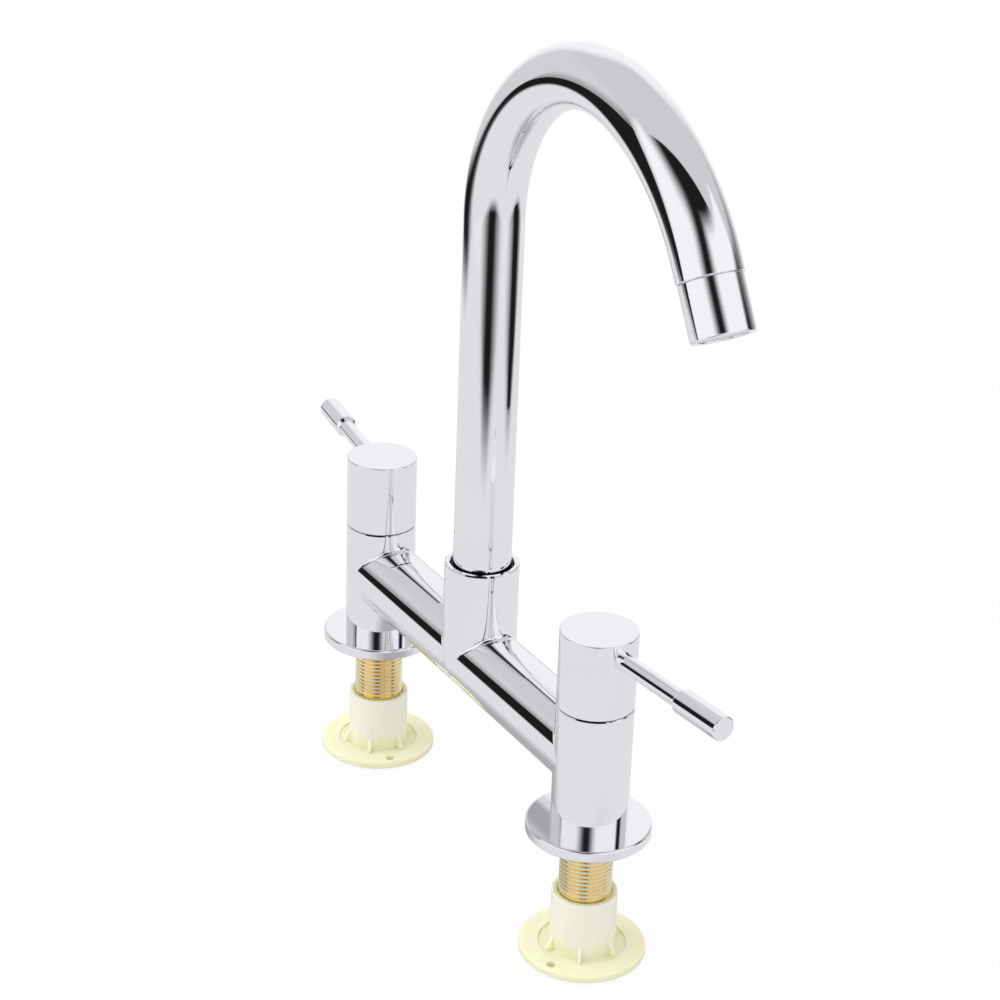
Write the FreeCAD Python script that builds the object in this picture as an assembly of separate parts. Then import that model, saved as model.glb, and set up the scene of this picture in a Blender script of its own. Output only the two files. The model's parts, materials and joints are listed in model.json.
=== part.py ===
import FreeCAD, Part
import math
import os

# Two handle kitchen mixer: a one-piece bridge body with two valve towers and a spout collar,
# lever handles on quarter-turn ceramic cartridges, and a swivelling gooseneck spout.
# All sizes are in millimetres. Z = 0 is the deck plane that the gaskets rest on, X runs along
# the bridge from the hot tower to the cold one, and the user stands on the -Y side.

# ---- deck fixing -------------------------------------------------------------------------
VALVE_SPACING = 180.0
FLANGE_DIAMETER = 49.0
FLANGE_TOP = 4.8
FLANGE_LIFT = 0.3
FLANGE_ROUND = 0.9
GASKET_DIAMETER = 42.0
GASKET_THICKNESS = 1.6

# ---- threaded shanks, G 1/2 pipe thread --------------------------------------------------
THREAD_DIAMETER = 20.955
THREAD_PITCH = 1.814
THREAD_DEPTH = 1.16
SHANK_BELOW_DECK = 55.0
SHANK_PLAIN_LENGTH = 5.0
SHANK_PLAIN_DIAMETER = 20.6
SHANK_BORE = 14.0
SHANK_ENGAGEMENT = 11.5
SHANK_SEAL_THICKNESS = 1.2
SHANK_SEAL_BORE = 15.0
SCREWED_CLEARANCE = 0.02
FLANGE_HOLE_CLEARANCE = 0.3

# ---- mounting nuts -----------------------------------------------------------------------
NUT_BOTTOM = -54.0
NUT_HEIGHT = 27.2
NUT_SLEEVE_DIAMETER = 26.0
NUT_DISC_DIAMETER = 50.4
NUT_DISC_THICKNESS = 3.2
NUT_RECESS_DIAMETER = 35.0
NUT_RECESS_DEPTH = 1.0
NUT_THREAD_CLEARANCE = 0.12
NUT_GUSSETS = 6
NUT_GUSSET_REACH = 3.4
NUT_GUSSET_HEIGHT = 6.0
NUT_GUSSET_THICKNESS = 1.6
NUT_SPANNER_HOLE = 3.6
NUT_SPANNER_CIRCLE = 43.0
NUT_SPANNER_AZIMUTH = -30.0
COLD_NUT_TURN = -35.0
HOT_NUT_TURN = 18.0

# ---- bridge body -------------------------------------------------------------------------
TOWER_DIAMETER = 30.0
TOWER_TOP = 55.5
BRIDGE_DIAMETER = 29.8
BRIDGE_HEIGHT = 32.7
BRIDGE_FILLET = 1.8
COLLAR_DIAMETER = 30.4
COLLAR_TOP = 76.0
COLLAR_BORE = 26.0
COLLAR_FLOOR = 40.5
COLLAR_ROOT_INSET = 0.9
COLLAR_LIP_CHAMFER = 0.6
EDGE_BREAK = 0.35
PASSAGE_DIAMETER = 13.0
MIXING_DIAMETER = 16.0
SEAT_HEIGHT = 22.5
THROAT_DIAMETER = 11.0
CHAMBER_DIAMETER = 22.0
BONNET_THREAD = 24.0
BONNET_LEDGE_DEPTH = 10.5

# ---- ceramic cartridges ------------------------------------------------------------------
HOUSING_DIAMETER = 18.0
HOUSING_BORE = 15.2
HOUSING_FOOT_GAP = 1.5
SEAT_SEAL_THICKNESS = 4.6
SEAT_SEAL_BORE = 9.2
DISC_THICKNESS = 4.0
DISC_CLEARANCE = 0.1
DISC_PORT_RADIUS = 5.6
DISC_PORT_HUB = 1.6
FORK_HEIGHT = 4.5
FORK_WIDTH = 3.0
FORK_TANG = 1.0
SPINDLE_COLLAR_THICKNESS = 1.5
THRUST_WASHER_THICKNESS = 0.8
AXIAL_PLAY = 0.1
WINDOW_WIDTH = 7.0
SPINDLE_DIAMETER = 7.9
SPINDLE_CLEARANCE = 0.05
SPINDLE_SEAL_WIRE = 1.0
SPINDLE_SEAL_PITCH = 3.0
BONNET_SEAL_WIRE = 1.2
HEX_ACROSS_FLATS = 20.0
HEX_HEIGHT = 5.0
NECK_DIAMETER = 12.0
NECK_HEIGHT = 6.0
CIRCLIP_DIAMETER = 11.0
CIRCLIP_THICKNESS = 0.8
CIRCLIP_GROOVE_DEPTH = 0.6

# ---- lever handles -----------------------------------------------------------------------
CAP_HEIGHT = 31.1
CAP_GAP = 0.4
CAP_CAVITY = 25.0
CAP_CAVITY_DEPTH = 13.6
CAP_ROOF = 3.9
LEVER_DROP = 6.4
LEVER_REACH = 74.0
LEVER_ROD_DIAMETER = 6.9
LEVER_SEAT_RADIUS = 11.0
LEVER_STUD_DIAMETER = 5.0
LEVER_FLAT_RADIUS = 3.0
GRIP_DIAMETER = 9.6
GRIP_LENGTH = 25.0
GRIP_SOCKET_DEPTH = 20.0
GRIP_CHAMFER = 0.9
GRIP_END_CHAMFER = 0.5
COLD_LEVER_AZIMUTH = 5.0
HOT_LEVER_AZIMUTH = 172.0

# ---- swivel spout ------------------------------------------------------------------------
SPOUT_DIAMETER = 23.6
SPOUT_WALL = 1.0
RISER_TOP = 219.7
ARCH_RADIUS = 70.2
ARCH_TURN = 107.0
DROP_RADIUS = 89.4
SPOUT_TURN = 150.0
SPOUT_TAIL = 5.0
NIPPLE_FOOT_GAP = 0.5
NIPPLE_HEIGHT = 20.5
NIPPLE_SPIGOT = 12.0
NIPPLE_BORE = 15.0
SWIVEL_CLEARANCE = 0.05
SWIVEL_SEAL_WIRE = 2.0
SWIVEL_SEAL_FIRST = 5.0
SWIVEL_SEAL_PITCH = 5.0
CLIP_HEIGHT = 15.5
CLIP_THICKNESS = 1.0
CLIP_BITE = 0.5
CLIP_GAP = 5.0
GLIDE_HEIGHT = 8.0

# ---- aerator -----------------------------------------------------------------------------
AERATOR_DIAMETER = 22.6
AERATOR_LENGTH = 20.0
AERATOR_NECK = 6.0
AERATOR_BORE = 19.2
AERATOR_LIP = 1.2
AERATOR_LIP_BORE = 17.6
AERATOR_ROUND = 0.7
AERATOR_GASKET = 1.2
SCREEN_THICKNESS = 0.8
JET_DIAMETER = 1.5
JET_PITCH = 2.4
JET_RINGS = 3

# ---- places worked out from the sizes above -----------------------------------------------
SHANK_TOP = FLANGE_TOP + SHANK_ENGAGEMENT
SOCKET_TOP = SHANK_TOP + SHANK_SEAL_THICKNESS
BONNET_LEDGE = TOWER_TOP - BONNET_LEDGE_DEPTH
FIXED_DISC_BOTTOM = SEAT_HEIGHT + SEAT_SEAL_THICKNESS
MOVING_DISC_BOTTOM = FIXED_DISC_BOTTOM + DISC_THICKNESS
FORK_BOTTOM = MOVING_DISC_BOTTOM + DISC_THICKNESS
SPINDLE_COLLAR_BOTTOM = FORK_BOTTOM + FORK_HEIGHT
THRUST_WASHER_BOTTOM = SPINDLE_COLLAR_BOTTOM + SPINDLE_COLLAR_THICKNESS
HOUSING_ROOF = THRUST_WASHER_BOTTOM + THRUST_WASHER_THICKNESS + AXIAL_PLAY
HEX_TOP = TOWER_TOP + HEX_HEIGHT
NECK_TOP = HEX_TOP + NECK_HEIGHT
CAP_BOTTOM = TOWER_TOP + CAP_GAP
CAP_TOP = CAP_BOTTOM + CAP_HEIGHT
LEVER_HEIGHT = CAP_TOP - LEVER_DROP
SPINDLE_RADIUS = SPINDLE_DIAMETER / 2
DISC_RADIUS = HOUSING_BORE / 2 - DISC_CLEARANCE
COLLAR_BORE_RADIUS = COLLAR_BORE / 2
NIPPLE_BOTTOM = COLLAR_FLOOR + NIPPLE_FOOT_GAP
NIPPLE_TOP = NIPPLE_BOTTOM + NIPPLE_HEIGHT
NIPPLE_RADIUS = COLLAR_BORE_RADIUS - SWIVEL_CLEARANCE
CLIP_LEVEL = NIPPLE_BOTTOM + CLIP_HEIGHT
SPOUT_RADIUS = SPOUT_DIAMETER / 2
SPOUT_INSIDE = SPOUT_RADIUS - SPOUT_WALL


def vec(x, y, z):
    return FreeCAD.Vector(x, y, z)


UP = vec(0, 0, 1)
ALONG = vec(1, 0, 0)


def rod(radius, bottom, top):
    """An upright cylinder on the Z axis."""
    return Part.makeCylinder(radius, top - bottom, vec(0, 0, bottom), UP)


def ring(inner, outer, bottom, top):
    """An upright tube on the Z axis."""
    return rod(outer, bottom, top).cut(rod(inner, bottom, top))


def bar(radius, start, end):
    """A cylinder on the X axis."""
    return Part.makeCylinder(radius, end - start, vec(start, 0, 0), ALONG)


def turned(points):
    """A solid of revolution about Z from (radius, height) points."""
    corners = [vec(r, 0, z) for r, z in points]
    face = Part.Face(Part.makePolygon(corners + corners[:1]))
    return face.revolve(vec(0, 0, 0), UP, 360)


def block(size_x, size_y, bottom, top):
    """A box centred on the Z axis."""
    return Part.makeBox(size_x, size_y, top - bottom, vec(-size_x / 2, -size_y / 2, bottom))


def seal_ring(centre_radius, wire, height):
    """A round-wire sealing ring about Z."""
    return Part.makeTorus(centre_radius, wire / 2, vec(0, 0, height), UP)


def moved(shape, x, y=0.0, z=0.0):
    copy = shape.copy()
    copy.translate(vec(x, y, z))
    return copy


def turned_about_z(shape, degrees):
    copy = shape.copy()
    copy.rotate(vec(0, 0, 0), UP, degrees)
    return copy


def save(name, shape):
    shape.exportStep("parts/" + name + ".step")


# ---- bridge body -------------------------------------------------------------------------

def collar_blank():
    """The spout collar, with a bulged root that fades into the bridge tube."""
    radius = COLLAR_DIAMETER / 2
    low = vec(0, 0, BRIDGE_HEIGHT - BRIDGE_DIAMETER / 2 + COLLAR_ROOT_INSET)
    rim = vec(radius, 0, BRIDGE_HEIGHT)
    lip = vec(radius, 0, COLLAR_TOP)
    top = vec(0, 0, COLLAR_TOP)
    root = Part.Ellipse(rim, low, vec(0, 0, BRIDGE_HEIGHT))
    curve = Part.ArcOfEllipse(root, 0, math.pi / 2).toShape()
    lines = [Part.makeLine(low, top), Part.makeLine(top, lip), Part.makeLine(lip, rim)]
    face = Part.Face(Part.Wire([curve] + lines))
    return face.revolve(vec(0, 0, 0), UP, 360)


def junction_edges(shape):
    """The curved seams where the bridge tube meets the towers and the collar."""
    seams = []
    for edge in shape.Edges:
        curve = edge.Curve
        if isinstance(curve, (Part.BSplineCurve, Part.BezierCurve)):
            seams.append(edge)
    return seams


def rim_edges(shape, height, radius):
    """Round edges about an upright axis, at one height and of one radius."""
    found = []
    for edge in shape.Edges:
        curve = edge.Curve
        if isinstance(curve, Part.Circle) and abs(curve.Radius - radius) < 1e-4:
            if abs(curve.Center.z - height) < 1e-4 and abs(curve.Axis.z) > 0.999:
                found.append(edge)
    return found


def bridge_outside():
    half = VALVE_SPACING / 2
    tower = rod(TOWER_DIAMETER / 2, FLANGE_TOP, TOWER_TOP)
    tube = moved(bar(BRIDGE_DIAMETER / 2, -half, half), 0, 0, BRIDGE_HEIGHT)
    blank = collar_blank().fuse([tube, moved(tower, half), moved(tower, -half)])
    blank = blank.removeSplitter()
    blank = blank.makeFillet(BRIDGE_FILLET, junction_edges(blank))
    blank = blank.makeChamfer(COLLAR_LIP_CHAMFER, rim_edges(blank, COLLAR_TOP, COLLAR_DIAMETER / 2))
    return blank.makeChamfer(EDGE_BREAK, rim_edges(blank, TOWER_TOP, TOWER_DIAMETER / 2))


def tower_cavity():
    """Shank socket, throat, cartridge chamber and bonnet thread, from the bottom up."""
    socket = rod(THREAD_DIAMETER / 2 + SCREWED_CLEARANCE, FLANGE_TOP, SOCKET_TOP)
    throat = rod(THROAT_DIAMETER / 2, SOCKET_TOP, SEAT_HEIGHT)
    chamber = rod(CHAMBER_DIAMETER / 2, SEAT_HEIGHT, BONNET_LEDGE)
    thread = rod(BONNET_THREAD / 2, BONNET_LEDGE, TOWER_TOP)
    return socket.fuse([throat, chamber, thread])


def collar_cavity():
    bore = rod(COLLAR_BORE_RADIUS, COLLAR_FLOOR, COLLAR_TOP)
    mixing = rod(MIXING_DIAMETER / 2, BRIDGE_HEIGHT, COLLAR_FLOOR)
    groove_half = CLIP_THICKNESS / 2 + AXIAL_PLAY
    groove_radius = COLLAR_BORE_RADIUS + CLIP_BITE + AXIAL_PLAY
    groove = rod(groove_radius, CLIP_LEVEL - groove_half, CLIP_LEVEL + groove_half)
    return bore.fuse([mixing, groove])


def bridge_body():
    half = VALVE_SPACING / 2
    passage = moved(bar(PASSAGE_DIAMETER / 2, -half, half), 0, 0, BRIDGE_HEIGHT)
    towers = [moved(tower_cavity(), half), moved(tower_cavity(), -half)]
    hollow = collar_cavity().fuse([passage] + towers)
    body = bridge_outside().cut(hollow)
    mouth = rim_edges(body, COLLAR_TOP, COLLAR_BORE_RADIUS)
    return body.makeChamfer(EDGE_BREAK, mouth)


# ---- deck fixing -------------------------------------------------------------------------

def flange_disc():
    radius = FLANGE_DIAMETER / 2
    hole = THREAD_DIAMETER / 2 + FLANGE_HOLE_CLEARANCE
    disc = ring(hole, radius, FLANGE_LIFT, FLANGE_TOP)
    disc = disc.makeFillet(FLANGE_ROUND, rim_edges(disc, FLANGE_TOP, radius))
    disc = disc.makeChamfer(EDGE_BREAK, rim_edges(disc, FLANGE_LIFT, radius))
    return disc.cut(rod(GASKET_DIAMETER / 2, 0, GASKET_THICKNESS))


def flange_gasket():
    return ring(THREAD_DIAMETER / 2 + FLANGE_HOLE_CLEARANCE, GASKET_DIAMETER / 2, 0, GASKET_THICKNESS)


def threaded_shank():
    """A plain neck under the deck plane, then the thread as separate V rings at its pitch."""
    radius = THREAD_DIAMETER / 2
    root = radius - THREAD_DEPTH
    bore = SHANK_BORE / 2
    plain = SHANK_PLAIN_DIAMETER / 2
    outline = [(bore, SHANK_TOP), (radius, SHANK_TOP), (radius, 0)]
    outline += [(plain, 0), (plain, -SHANK_PLAIN_LENGTH), (radius, -SHANK_PLAIN_LENGTH)]
    turns = int((SHANK_BELOW_DECK - SHANK_PLAIN_LENGTH) / THREAD_PITCH)
    land = THREAD_PITCH / 8
    level = -SHANK_PLAIN_LENGTH
    for turn in range(turns):
        outline.append((radius, level - land))
        outline.append((root, level - THREAD_PITCH / 2 + land / 2))
        outline.append((root, level - THREAD_PITCH / 2 - land / 2))
        outline.append((radius, level - THREAD_PITCH + land))
        level -= THREAD_PITCH
    outline += [(radius, level), (root, level - THREAD_DEPTH / 2), (root, -SHANK_BELOW_DECK)]
    outline.append((bore, -SHANK_BELOW_DECK))
    return turned(outline)


def shank_seal():
    return ring(SHANK_SEAL_BORE / 2, THREAD_DIAMETER / 2 - THREAD_DEPTH / 2, SHANK_TOP, SOCKET_TOP)


def mounting_nut():
    disc_top = NUT_BOTTOM + NUT_DISC_THICKNESS
    sleeve_radius = NUT_SLEEVE_DIAMETER / 2
    recess_floor = disc_top - NUT_RECESS_DEPTH
    nut = rod(sleeve_radius, NUT_BOTTOM, NUT_BOTTOM + NUT_HEIGHT)
    nut = nut.makeChamfer(EDGE_BREAK, rim_edges(nut, NUT_BOTTOM + NUT_HEIGHT, sleeve_radius))
    disc = rod(NUT_DISC_DIAMETER / 2, NUT_BOTTOM, disc_top)
    disc = disc.makeChamfer(EDGE_BREAK, rim_edges(disc, disc_top, NUT_DISC_DIAMETER / 2))
    disc = disc.cut(rod(NUT_RECESS_DIAMETER / 2, recess_floor, disc_top))
    pieces = [disc]
    for index in range(NUT_GUSSETS):
        gusset = nut_gusset(sleeve_radius, recess_floor)
        pieces.append(turned_about_z(gusset, index * 360.0 / NUT_GUSSETS))
    nut = nut.fuse(pieces).removeSplitter()
    nut = nut.cut(rod(THREAD_DIAMETER / 2 + NUT_THREAD_CLEARANCE, NUT_BOTTOM, NUT_BOTTOM + NUT_HEIGHT))
    hole = rod(NUT_SPANNER_HOLE / 2, NUT_BOTTOM, disc_top)
    reach = NUT_SPANNER_CIRCLE / 2
    holes = [moved(hole, reach), moved(hole, -reach)]
    return nut.cut([turned_about_z(each, NUT_SPANNER_AZIMUTH) for each in holes])


def nut_gusset(sleeve_radius, floor):
    """A thin sloping web from the sleeve to the recess floor."""
    inner = sleeve_radius - NUT_GUSSET_THICKNESS
    half = NUT_GUSSET_THICKNESS / 2
    points = [
        vec(inner, -half, floor),
        vec(sleeve_radius + NUT_GUSSET_REACH, -half, floor),
        vec(sleeve_radius, -half, floor + NUT_GUSSET_HEIGHT),
        vec(inner, -half, floor + NUT_GUSSET_HEIGHT),
    ]
    web = Part.Face(Part.makePolygon(points + points[:1]))
    return web.extrude(vec(0, NUT_GUSSET_THICKNESS, 0))


# ---- cartridge ---------------------------------------------------------------------------

def cartridge_housing():
    spindle_hole = SPINDLE_RADIUS + SPINDLE_CLEARANCE
    bottom = SEAT_HEIGHT + HOUSING_FOOT_GAP
    thread_bottom = BONNET_LEDGE + BONNET_SEAL_WIRE
    thread_radius = BONNET_THREAD / 2 - SCREWED_CLEARANCE
    outside = turned([
        (0, bottom),
        (HOUSING_DIAMETER / 2, bottom),
        (HOUSING_DIAMETER / 2, thread_bottom),
        (thread_radius, thread_bottom),
        (thread_radius, TOWER_TOP),
        (NECK_DIAMETER / 2, TOWER_TOP),
        (NECK_DIAMETER / 2, NECK_TOP),
        (0, NECK_TOP),
    ])
    housing = outside.fuse(hexagon(HEX_ACROSS_FLATS, TOWER_TOP, HEX_TOP)).removeSplitter()
    housing = housing.cut(rod(HOUSING_BORE / 2, bottom, HOUSING_ROOF))
    housing = housing.cut(rod(spindle_hole, HOUSING_ROOF, NECK_TOP))
    window = block(HOUSING_DIAMETER, WINDOW_WIDTH, FORK_BOTTOM, SPINDLE_COLLAR_BOTTOM)
    return housing.cut(window)


def hexagon(across_flats, bottom, top):
    corner = across_flats / 2 / math.cos(math.pi / 6)
    points = [vec(corner * math.cos(a), corner * math.sin(a), bottom) for a in sixths()]
    return Part.Face(Part.makePolygon(points + points[:1])).extrude(vec(0, 0, top - bottom))


def sixths():
    return [index * math.pi / 3 for index in range(6)]


def bonnet_seal():
    """Squeezed between the tower's ledge and the bonnet, against the tower's bore."""
    half = BONNET_SEAL_WIRE / 2
    return seal_ring(BONNET_THREAD / 2 - half, BONNET_SEAL_WIRE, BONNET_LEDGE + half)


def seat_seal():
    return ring(SEAT_SEAL_BORE / 2, DISC_RADIUS, SEAT_HEIGHT, FIXED_DISC_BOTTOM)


def port_sector(bottom, top):
    """One quarter-circle water port, clear of the hub and of its neighbours."""
    sector = Part.makeCylinder(DISC_PORT_RADIUS, top - bottom, vec(0, 0, bottom), UP, 90)
    return sector.cut(rod(DISC_PORT_HUB, bottom, top))


def ported_disc(bottom):
    top = bottom + DISC_THICKNESS
    disc = rod(DISC_RADIUS, bottom, top)
    port = port_sector(bottom, top)
    return disc.cut([port, turned_about_z(port, 180)])


def moving_disc():
    slot = block(2 * DISC_RADIUS, FORK_WIDTH, FORK_BOTTOM - FORK_TANG, FORK_BOTTOM)
    closed = turned_about_z(ported_disc(MOVING_DISC_BOTTOM), 90)
    return closed.cut(slot)


def spindle():
    """Fork, thrust collar, sealing grooves, circlip groove and the flat for the lever's stud."""
    fork_half = DISC_RADIUS - DISC_CLEARANCE
    tang_bottom = FORK_BOTTOM - FORK_TANG
    tang_width = FORK_WIDTH - DISC_CLEARANCE
    tang = rod(fork_half, tang_bottom, SPINDLE_COLLAR_BOTTOM)
    tang = tang.common(block(2 * fork_half, tang_width, tang_bottom, SPINDLE_COLLAR_BOTTOM))
    collar = rod(fork_half, SPINDLE_COLLAR_BOTTOM, THRUST_WASHER_BOTTOM)
    stem = rod(SPINDLE_RADIUS, THRUST_WASHER_BOTTOM, CAP_TOP - CAP_ROOF)
    shaft = stem.fuse([collar, tang]).removeSplitter()
    half = SPINDLE_SEAL_WIRE / 2
    seal_floor = SPINDLE_RADIUS - SPINDLE_SEAL_WIRE
    for height in spindle_seal_heights():
        shaft = shaft.cut(ring(seal_floor, SPINDLE_DIAMETER, height - half, height + half))
    groove = ring(circlip_inside(), SPINDLE_DIAMETER, circlip_bottom(), circlip_top())
    flat_corner = vec(LEVER_FLAT_RADIUS, -SPINDLE_DIAMETER, LEVER_HEIGHT - LEVER_STUD_DIAMETER)
    flat = Part.makeBox(SPINDLE_DIAMETER, 2 * SPINDLE_DIAMETER, 2 * LEVER_DROP, flat_corner)
    return shaft.cut([groove, flat])


def circlip_inside():
    return SPINDLE_RADIUS - CIRCLIP_GROOVE_DEPTH


def circlip_bottom():
    return NECK_TOP + AXIAL_PLAY


def circlip_top():
    return circlip_bottom() + CIRCLIP_THICKNESS


def spindle_seal_heights():
    first = HOUSING_ROOF + SPINDLE_SEAL_PITCH
    return [first, first + SPINDLE_SEAL_PITCH]


def spindle_seals():
    centre = SPINDLE_RADIUS - SPINDLE_SEAL_WIRE / 2
    rings = [seal_ring(centre, SPINDLE_SEAL_WIRE, height) for height in spindle_seal_heights()]
    return Part.makeCompound(rings)


def thrust_washer():
    inner = SPINDLE_RADIUS + SPINDLE_CLEARANCE
    top = THRUST_WASHER_BOTTOM + THRUST_WASHER_THICKNESS
    return ring(inner, DISC_RADIUS - DISC_CLEARANCE, THRUST_WASHER_BOTTOM, top)


def circlip():
    """A snap ring on the spindle over the bonnet's neck, open on one side."""
    clip = ring(circlip_inside(), CIRCLIP_DIAMETER / 2, circlip_bottom(), circlip_top())
    corner = vec(-CIRCLIP_DIAMETER, -SPINDLE_RADIUS / 2, circlip_bottom())
    mouth = Part.makeBox(CIRCLIP_DIAMETER, SPINDLE_RADIUS, CIRCLIP_THICKNESS, corner)
    return clip.cut(mouth)


# ---- lever handle, built with the lever along +X ------------------------------------------

def handle_cap():
    radius = TOWER_DIAMETER / 2
    cap = rod(radius, CAP_BOTTOM, CAP_TOP)
    rims = rim_edges(cap, CAP_TOP, radius) + rim_edges(cap, CAP_BOTTOM, radius)
    cap = cap.makeChamfer(EDGE_BREAK, rims)
    cavity_top = CAP_BOTTOM + CAP_CAVITY_DEPTH
    cavity = rod(CAP_CAVITY / 2, CAP_BOTTOM, cavity_top)
    socket = rod(SPINDLE_RADIUS + SCREWED_CLEARANCE, cavity_top, CAP_TOP - CAP_ROOF)
    stud_hole = bar(LEVER_STUD_DIAMETER / 2 + SCREWED_CLEARANCE, 0, radius)
    rod_hole = bar(LEVER_ROD_DIAMETER / 2 + SCREWED_CLEARANCE, LEVER_SEAT_RADIUS, 2 * radius)
    hole = moved(stud_hole.fuse(rod_hole), 0, 0, LEVER_HEIGHT)
    return cap.cut([cavity, socket, hole])


def lever_rod():
    """Stud that clamps the spindle, plain rod, and the pin that carries the grip."""
    grip_start = LEVER_REACH - GRIP_LENGTH
    stud = bar(LEVER_STUD_DIAMETER / 2, LEVER_FLAT_RADIUS, LEVER_SEAT_RADIUS)
    shaft = bar(LEVER_ROD_DIAMETER / 2, LEVER_SEAT_RADIUS, grip_start)
    pin = bar(LEVER_STUD_DIAMETER / 2, grip_start, grip_start + GRIP_SOCKET_DEPTH)
    return moved(stud.fuse([shaft, pin]).removeSplitter(), 0, 0, LEVER_HEIGHT)


def lever_grip():
    radius = GRIP_DIAMETER / 2
    start = LEVER_REACH - GRIP_LENGTH
    blank = bar(radius, start, LEVER_REACH)
    blank = blank.makeChamfer(GRIP_CHAMFER, bar_rims(blank, start))
    blank = blank.makeChamfer(GRIP_END_CHAMFER, bar_rims(blank, LEVER_REACH))
    socket = bar(LEVER_STUD_DIAMETER / 2 + SCREWED_CLEARANCE, start, start + GRIP_SOCKET_DEPTH)
    return moved(blank.cut(socket), 0, 0, LEVER_HEIGHT)


def bar_rims(shape, place):
    """Round edges of a bar on the X axis at one place along it."""
    rims = [edge for edge in shape.Edges if isinstance(edge.Curve, Part.Circle)]
    return [edge for edge in rims if abs(edge.Curve.Center.x - place) < 1e-4]


# ---- spout -------------------------------------------------------------------------------

def arch_point(centre_x, centre_z, radius, angle):
    """A point on the spout's centre line, angle measured from the riser."""
    return vec(centre_x - radius * math.cos(angle), 0, centre_z + radius * math.sin(angle))


def spout_path():
    """Centre line: riser, tight arch, slacker drop and a short straight tail."""
    turn_one = math.radians(ARCH_TURN)
    turn_two = math.radians(SPOUT_TURN)
    start = vec(0, 0, NIPPLE_TOP)
    riser_end = vec(0, 0, RISER_TOP)
    arch_mid = arch_point(ARCH_RADIUS, RISER_TOP, ARCH_RADIUS, turn_one / 2)
    arch_end = arch_point(ARCH_RADIUS, RISER_TOP, ARCH_RADIUS, turn_one)
    step = ARCH_RADIUS - DROP_RADIUS
    drop_x = ARCH_RADIUS - step * math.cos(turn_one)
    drop_z = RISER_TOP + step * math.sin(turn_one)
    drop_mid = arch_point(drop_x, drop_z, DROP_RADIUS, (turn_one + turn_two) / 2)
    drop_end = arch_point(drop_x, drop_z, DROP_RADIUS, turn_two)
    tail_end = drop_end + vec(math.sin(turn_two), 0, math.cos(turn_two)) * SPOUT_TAIL
    edges = [
        Part.LineSegment(start, riser_end).toShape(),
        Part.Arc(riser_end, arch_mid, arch_end).toShape(),
        Part.Arc(arch_end, drop_mid, drop_end).toShape(),
        Part.LineSegment(drop_end, tail_end).toShape(),
    ]
    return Part.Wire(edges), tail_end


def swept(radius):
    """A round bar along the spout's centre line."""
    path, _ = spout_path()
    circle = Part.Wire([Part.makeCircle(radius, vec(0, 0, NIPPLE_TOP), UP)])
    return path.makePipeShell([circle], True, False)


def spout_tube():
    tube = swept(SPOUT_RADIUS)
    end = [e for e in tube.Edges if isinstance(e.Curve, Part.Circle) and is_tail_rim(e)]
    tube = tube.makeChamfer(EDGE_BREAK, end)
    return tube.cut(swept(SPOUT_INSIDE))


def is_tail_rim(edge):
    _, tail_end = spout_path()
    near = edge.Curve.Center.distanceToPoint(tail_end) < 1e-3
    return near and abs(edge.Curve.Radius - SPOUT_RADIUS) < 1e-3


def spout_nipple():
    """The turned foot of the spout: seal grooves, clip groove and the tube's spigot."""
    spigot_top = NIPPLE_TOP + NIPPLE_SPIGOT
    body = rod(NIPPLE_RADIUS, NIPPLE_BOTTOM, NIPPLE_TOP)
    spigot = rod(SPOUT_INSIDE - SCREWED_CLEARANCE, NIPPLE_TOP, spigot_top)
    nipple = body.fuse(spigot).removeSplitter()
    nipple = nipple.cut(rod(NIPPLE_BORE / 2, NIPPLE_BOTTOM, spigot_top))
    half = SWIVEL_SEAL_WIRE / 2
    seal_floor = NIPPLE_RADIUS - SWIVEL_SEAL_WIRE
    for height in swivel_seal_heights():
        nipple = nipple.cut(ring(seal_floor, COLLAR_BORE, height - half, height + half))
    clip_half = CLIP_THICKNESS / 2
    return nipple.cut(ring(clip_inside(), COLLAR_BORE, CLIP_LEVEL - clip_half, CLIP_LEVEL + clip_half))


def clip_inside():
    return NIPPLE_RADIUS - 2 * CLIP_BITE


def swivel_seal_heights():
    first = NIPPLE_BOTTOM + SWIVEL_SEAL_FIRST
    return [first, first + SWIVEL_SEAL_PITCH]


def spout_seals():
    centre = NIPPLE_RADIUS - SWIVEL_SEAL_WIRE / 2
    rings = [seal_ring(centre, SWIVEL_SEAL_WIRE, height) for height in swivel_seal_heights()]
    return Part.makeCompound(rings)


def spout_clip():
    """A snap ring that holds the nipple down in the collar, open at the back."""
    bottom = CLIP_LEVEL - CLIP_THICKNESS / 2
    clip = ring(clip_inside(), COLLAR_BORE_RADIUS + CLIP_BITE, bottom, bottom + CLIP_THICKNESS)
    mouth = Part.makeBox(CLIP_GAP, COLLAR_BORE, CLIP_THICKNESS, vec(-CLIP_GAP / 2, 0, bottom))
    return clip.cut(mouth)


def glide_ring():
    """A plastic sleeve that steadies the tube in the collar's mouth."""
    return ring(SPOUT_RADIUS, NIPPLE_RADIUS, NIPPLE_TOP, NIPPLE_TOP + GLIDE_HEIGHT)


def at_outlet(shape):
    """Place a shape made about Z = 0, pointing up, at the spout's tail."""
    _, tail_end = spout_path()
    copy = shape.copy()
    copy.rotate(vec(0, 0, 0), vec(0, 1, 0), SPOUT_TURN)
    copy.translate(tail_end)
    return copy


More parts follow.
